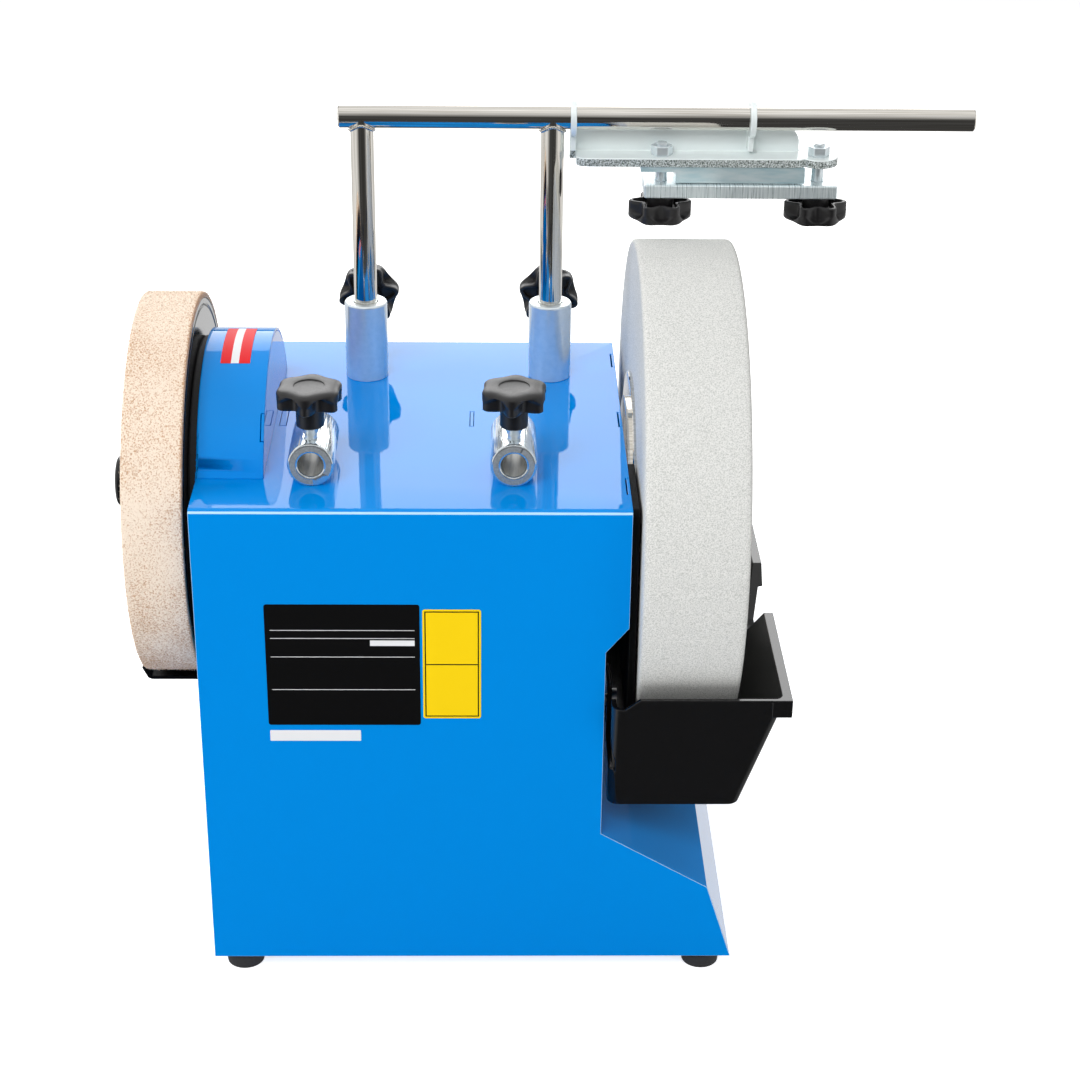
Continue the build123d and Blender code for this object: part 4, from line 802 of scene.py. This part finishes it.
for side, post_x in zip(("left", "right"), post_xs):
    weld = grown(f"weld_{side}", tree, {
        "Bar": bar_radius, "Bead": 1.0 * MM, "Count": 34, "Seed": 3, "Finish": finishes["chrome_plating"]})
    weld.data.transform(Matrix.Translation((post_x, post_y, bar_z)))
    dressed(weld, finishes["chrome_plating"], "tool_support")

# %% [markdown]
# ## Threads of the jig's studs
# A thread seen from a metre away is a stack of fine ridges. A true helix would look the same and cost
# more, so a line of points with a thin ring on each is enough. The tree takes the pitch and the length,
# and the count follows from them.

# %% Threads
tree, given, output = new_tree("thread", {
    "Radius": "Float", "Pitch": "Float", "Length": "Float", "Finish": "Material"})
count = add(tree, "ShaderNodeMath", {}, {0: given["Length"], 1: given["Pitch"]}, operation="DIVIDE")
step = add(tree, "ShaderNodeCombineXYZ", links={"Z": given["Pitch"]})
line = add(tree, "GeometryNodeMeshLine", links={"Count": count, "Offset": step})
loop = add(tree, "GeometryNodeCurvePrimitiveCircle", {"Resolution": 32}, {"Radius": given["Radius"]})
wire_size = add(tree, "ShaderNodeMath", {1: 0.4}, {0: given["Pitch"]}, operation="MULTIPLY")
wire = add(tree, "GeometryNodeCurvePrimitiveCircle", {"Resolution": 6}, {"Radius": wire_size})
ridge = add(tree, "GeometryNodeCurveToMesh", links={"Curve": loop, "Profile Curve": wire})
placed = add(tree, "GeometryNodeInstanceOnPoints", links={"Points": line, "Instance": ridge})
close_tree(tree, output, placed, given["Finish"])
stud_low, stud_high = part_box("jig_studs")
clamp_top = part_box("jig_clamp_bar")[1].z
stud_radius = 3.0 * MM
PITCH, RIDGE_DEPTH, END_MARGIN = 0.8 * MM, 0.25 * MM, 1.2 * MM
for side, stud_x in (("left", stud_low.x + stud_radius), ("right", stud_high.x - stud_radius)):
    thread = grown(f"thread_{side}", tree, {
        "Radius": stud_radius - RIDGE_DEPTH, "Pitch": PITCH, "Length": stud_high.z - clamp_top - END_MARGIN,
        "Finish": finishes["zinc_plating"]})
    thread.data.transform(Matrix.Translation((stud_x, post_y, clamp_top + PITCH)))
    dressed(thread, finishes["zinc_plating"], "blade_jig")

# %% [markdown]
# ## Labels
# The front carries three film labels: a black one with white rules, a yellow one with a black frame, and
# a white strip. They are thin plates with rounded corners, and the lines on them are thinner plates, so
# that they catch the light as print on film does.

# %% Label helpers
LABEL_FILM = 0.15
INK_FILM = 0.03
CORNER_STEPS = 4


def ink_of(name, colour):
    """Screen print: one flat, even colour with hardly any shine."""
    return start(name, colour, Roughness=0.5, Specular_IOR_Level=0.15)[0]


def rounded(shape, left, drop, width, height, lift, film, radius):
    """A thin plate on the casing's front, placed in mm from its left and top edges."""
    corners = [(0, 0, 180), (width, 0, 270), (width, height, 0), (0, height, 90)]
    points = []
    for x, z, first in corners:
        inset_x = radius if x == 0 else -radius
        inset_z = radius if z == 0 else -radius
        for i in range(CORNER_STEPS + 1 if radius else 1):
            turn = radians(first + 90 / CORNER_STEPS * i)
            points.append((x + inset_x + radius * cos(turn), z + inset_z + radius * sin(turn)))
    base = Vector((casing_low.x, casing_low.y, casing_high.z))
    rows = []
    for out in (lift, lift + film):
        rows.append([
            shape.verts.new(base + Vector((left + x, -out, z - drop - height)) * MM) for x, z in points])
    shape.faces.new(rows[0])
    shape.faces.new(rows[1])
    for k in range(len(points)):
        shape.faces.new((rows[0][k - 1], rows[0][k], rows[1][k], rows[1][k - 1]))


def printed(name, material, plates, lift=0.0, film=LABEL_FILM, radius=0.0):
    """One object from plates of (left, drop, width, height)."""
    shape = bmesh.new()
    for left, drop, width, height in plates:
        rounded(shape, left, drop, width, height, lift, film, radius)
    dressed(closed(name, shape), material, "casing")


# %% Labels
ink = {
    "black": ink_of("black_print", "#0C0C0D"), "white": ink_of("white_print", "#EDEEF0"),
    "yellow": ink_of("yellow_print", "#FFD800"), "red": ink_of("red_print", "#E3242B"),
}
printed("label_black", ink["black"], [(33.5, 49.7, 74.5, 66.8)], radius=1.2)
printed("label_yellow", ink["yellow"], [(109.3, 52.3, 28.2, 60.4)], radius=1.2)
printed("label_strip", ink["white"], [(34.0, 119.6, 44.5, 6.0)], radius=0.4)
rules = [(36.0, drop, 69.5, 0.3) for drop in (63.6, 68.0, 78.2, 96.4)]
field = (84.0, 69.2, 21.5, 3.0)
printed("label_rules", ink["white"], rules + [field], LABEL_FILM, INK_FILM)
across = [(110.3, 53.3, 26.2, 0.6), (110.3, 111.1, 26.2, 0.6)]
upright = [(left, 53.9, 0.6, 57.2) for left in (110.3, 135.9)]
middle = (110.9, 82.2, 25.0, 0.6)
printed("label_frame", ink["black"], across + upright + [middle], LABEL_FILM, INK_FILM)

# %% [markdown]
# ## Stripes on the hood
# The sticker on the hood has three stripes, and it bends with the hood. Each stripe is a thin strip that
# follows the hood's own circle round the spindle.

# %% Stripes
STRIPE_STEPS = 24
STRIPE_BELOW, STRIPE_ABOVE = 0.05, 0.2
hood_radius = (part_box("drive_hood")[1].z - spindle.z) / MM
stripe_from, stripe_to = -12.0, 18.2
stripe_left = 9.0
for index, (colour, width) in enumerate((("red", 5.1), ("white", 3.9), ("red", 5.5))):
    shape = bmesh.new()
    rows = []
    for film in (STRIPE_BELOW, STRIPE_ABOVE):
        out = (hood_radius + film) * MM
        for x in (stripe_left, stripe_left + width):
            rows.append([])
            for k in range(STRIPE_STEPS + 1):
                turn = radians(stripe_from + (stripe_to - stripe_from) * k / STRIPE_STEPS)
                y, z = spindle.y - out * sin(turn), spindle.z + out * cos(turn)
                rows[-1].append(shape.verts.new((casing_low.x + x * MM, y, z)))
    loop = [rows[0], rows[1], rows[3], rows[2]]
    for i in range(4):
        for k in range(STRIPE_STEPS):
            shape.faces.new((loop[i - 1][k], loop[i][k], loop[i][k + 1], loop[i - 1][k + 1]))
    for k in (0, STRIPE_STEPS):
        shape.faces.new([row[k] for row in loop])
    dressed(closed(f"stripe_{index + 1}", shape, 40), ink[colour], "casing")
    stripe_left += width

# %% [markdown]
# ## Floor
# The photograph is a studio cut-out on white. The floor is white card that catches a soft shadow. It
# glows a little for the camera alone, so that it meets the white background without more light on the
# machine, and mirrors don't see it.

# %% Floor
FLOOR, FLOOR_BELOW, FLOOR_GLOW = 4.0, 0.5 * MM, 0.75
# White card: even and without shine
floor_material, tree, shader, place = start(
    "white_floor", "#F2F2F2", Roughness=0.9, Specular_IOR_Level=0.0, Emission_Color=(1, 1, 1, 1))
seen = add(tree, "ShaderNodeLightPath").outputs["Is Camera Ray"]
glow = add(tree, "ShaderNodeMapRange", {"To Max": FLOOR_GLOW}, {"Value": seen})
tree.links.new(glow.outputs[0], shader.inputs["Emission Strength"])
floor_shape = bmesh.new()
floor_shape.faces.new([
    floor_shape.verts.new((x * FLOOR, y * FLOOR, -FLOOR_BELOW))
    for x, y in ((-1, -1), (1, -1), (1, 1), (-1, 1))])
floor_mesh = bpy.data.meshes.new("floor")
floor_shape.to_mesh(floor_mesh)
floor_shape.free()
floor_mesh.materials.append(floor_material)
floor = bpy.data.objects.new("floor", floor_mesh)
floor.visible_glossy = False
scene.collection.objects.link(floor)
print(floor.name, 2 * FLOOR, "m wide")

# %% [markdown]
# ## Background and room
# The camera sees a white background. Mirrors see a room instead: a bright ceiling that fades towards the
# horizon, bright sides, the white floor behind and a dim front, which gives chrome its dark streaks. Each
# of them depends on one part of the ray's direction, and the brightest one counts. For all other rays the
# world gives a weak, even light, so that the lamps make the shadows.

# %% World
BACK_CEILING = {"From Min": 0.18, "From Max": 0.44, "To Min": 0.05, "To Max": 1.0}
FRONT_CEILING = {"From Min": 0.2, "From Max": 1.0, "To Min": 0.05, "To Max": 1.1}
SIDE_WALLS = {"From Min": 0.45, "From Max": 0.8, "To Min": 0.06, "To Max": 0.95}
REAR_FLOOR = {"From Min": 0.5, "From Max": 0.8}
WHITE = (1, 1, 1, 1)
AMBIENT = 0.15
world = bpy.data.worlds.new("studio")
world.use_nodes = True
scene.world = world
tree = world.node_tree
tree.nodes.clear()
path = add(tree, "ShaderNodeLightPath").outputs
direction = add(tree, "ShaderNodeTexCoord").outputs["Generated"]
toward = add(tree, "ShaderNodeSeparateXYZ", links={0: direction}).outputs
back = add(tree, "ShaderNodeMapRange", BACK_CEILING, {"Value": toward["Z"]})
front = add(tree, "ShaderNodeMapRange", FRONT_CEILING, {"Value": toward["Z"]})
ahead = add(tree, "ShaderNodeMath", {1: 0.0}, {0: toward["Y"]}, operation="LESS_THAN")
ceiling = add(tree, "ShaderNodeMix", {}, {0: ahead, 2: back, 3: front}, data_type="FLOAT")
aside = add(tree, "ShaderNodeMath", {}, {0: toward["X"]}, operation="ABSOLUTE")
sides = add(tree, "ShaderNodeMapRange", SIDE_WALLS, {"Value": aside})
rear = add(tree, "ShaderNodeMapRange", REAR_FLOOR, {"Value": toward["Y"]})
downward = add(tree, "ShaderNodeMath", {1: 0.0}, {0: toward["Z"]}, operation="LESS_THAN")
rear_floor = add(tree, "ShaderNodeMath", {}, {0: rear, 1: downward}, operation="MULTIPLY")
upper = add(tree, "ShaderNodeMath", {}, {0: ceiling, 1: sides}, operation="MAXIMUM")
room = add(tree, "ShaderNodeMath", {}, {0: upper, 1: rear_floor}, operation="MAXIMUM")
ambient = add(tree, "ShaderNodeBackground", {"Color": WHITE, "Strength": AMBIENT})
mirrored = add(tree, "ShaderNodeBackground", {"Color": WHITE}, {"Strength": room})
backdrop = add(tree, "ShaderNodeBackground", {"Color": WHITE, "Strength": 1.0})
lit = add(tree, "ShaderNodeMixShader", links={0: path["Is Glossy Ray"], 1: ambient, 2: mirrored})
direct = add(
    tree, "ShaderNodeMath", {}, {0: path["Is Camera Ray"], 1: path["Is Transmission Ray"]},
    operation="MAXIMUM")
shown = add(tree, "ShaderNodeMixShader", links={0: direct, 1: lit, 2: backdrop})
add(tree, "ShaderNodeOutputWorld", links={0: shown})
print("world of", len(tree.nodes), "nodes")

# %% [markdown]
# ## Lamps
# A large soft light stands behind the machine and shows in its mirrors. A second one hangs above the
# camera's left shoulder, and three weaker ones open the shadows. Those four stay out of the mirrors,
# which would show them as hard white rectangles.

# %% Lamps
def softbox(name, place, target, width, height, power, mirrored=False):
    """A rectangular lamp that looks from its place to its target, in metres and watts."""
    light = bpy.data.lights.new(name, "AREA")
    light.shape = "RECTANGLE"
    light.size, light.size_y = width, height
    light.energy = power
    lamp = bpy.data.objects.new(name, light)
    lamp.location = place
    lamp.rotation_euler = (Vector(target) - Vector(place)).to_track_quat("-Z", "Y").to_euler()
    lamp.visible_glossy = mirrored
    scene.collection.objects.link(lamp)


softbox("back_light", (0.0, 1.6, 1.0), (0.0, 0.0, 0.25), 2.0, 1.2, 22.0, True)
softbox("key_light", (-0.7, -1.6, 1.8), (0.0, 0.0, 0.2), 1.4, 1.0, 35.0)
softbox("fill_light", (1.3, -1.2, 0.9), (0.0, 0.0, 0.2), 1.0, 1.0, 5.0)
softbox("side_light", (-1.4, 0.1, 1.1), (0.0, 0.0, 0.3), 1.0, 1.0, 9.0)
softbox("top_light", (0.3, 0.1, 2.0), (0.05, 0.0, 0.2), 1.2, 1.2, 5.5)
scene.view_settings.view_transform = "Standard"

# %% [markdown]
# ## Camera
# The camera was found from straight edges of known length in the photograph: it stands a little over a
# metre away and looks down by 26 degrees, with a slight roll.

# %% Camera
CAMERA_AT = Vector((-26.5, -1071.7, 730.5)) * MM
YAW, PITCH_DOWN, ROLL = radians(1.35), radians(26.4), radians(0.75)
FOCAL_PIXELS, PHOTO_PIXELS, SENSOR = 2285.2, 1080, 36.0
forward = Vector((sin(YAW) * cos(PITCH_DOWN), cos(YAW) * cos(PITCH_DOWN), -sin(PITCH_DOWN)))
level = Vector((cos(YAW), -sin(YAW), 0.0))
upward = level.cross(forward)
right = level * cos(ROLL) + upward * sin(ROLL)
up = upward * cos(ROLL) - level * sin(ROLL)
lens = bpy.data.cameras.new("photo_camera")
lens.sensor_width = SENSOR
lens.lens = FOCAL_PIXELS / PHOTO_PIXELS * SENSOR
camera = bpy.data.objects.new("photo_camera", lens)
turned_to = Matrix((right, up, -forward)).transposed().to_4x4()
camera.matrix_world = Matrix.Translation(CAMERA_AT) @ turned_to
scene.collection.objects.link(camera)
scene.camera = camera
print("lens", round(lens.lens, 2), "mm")
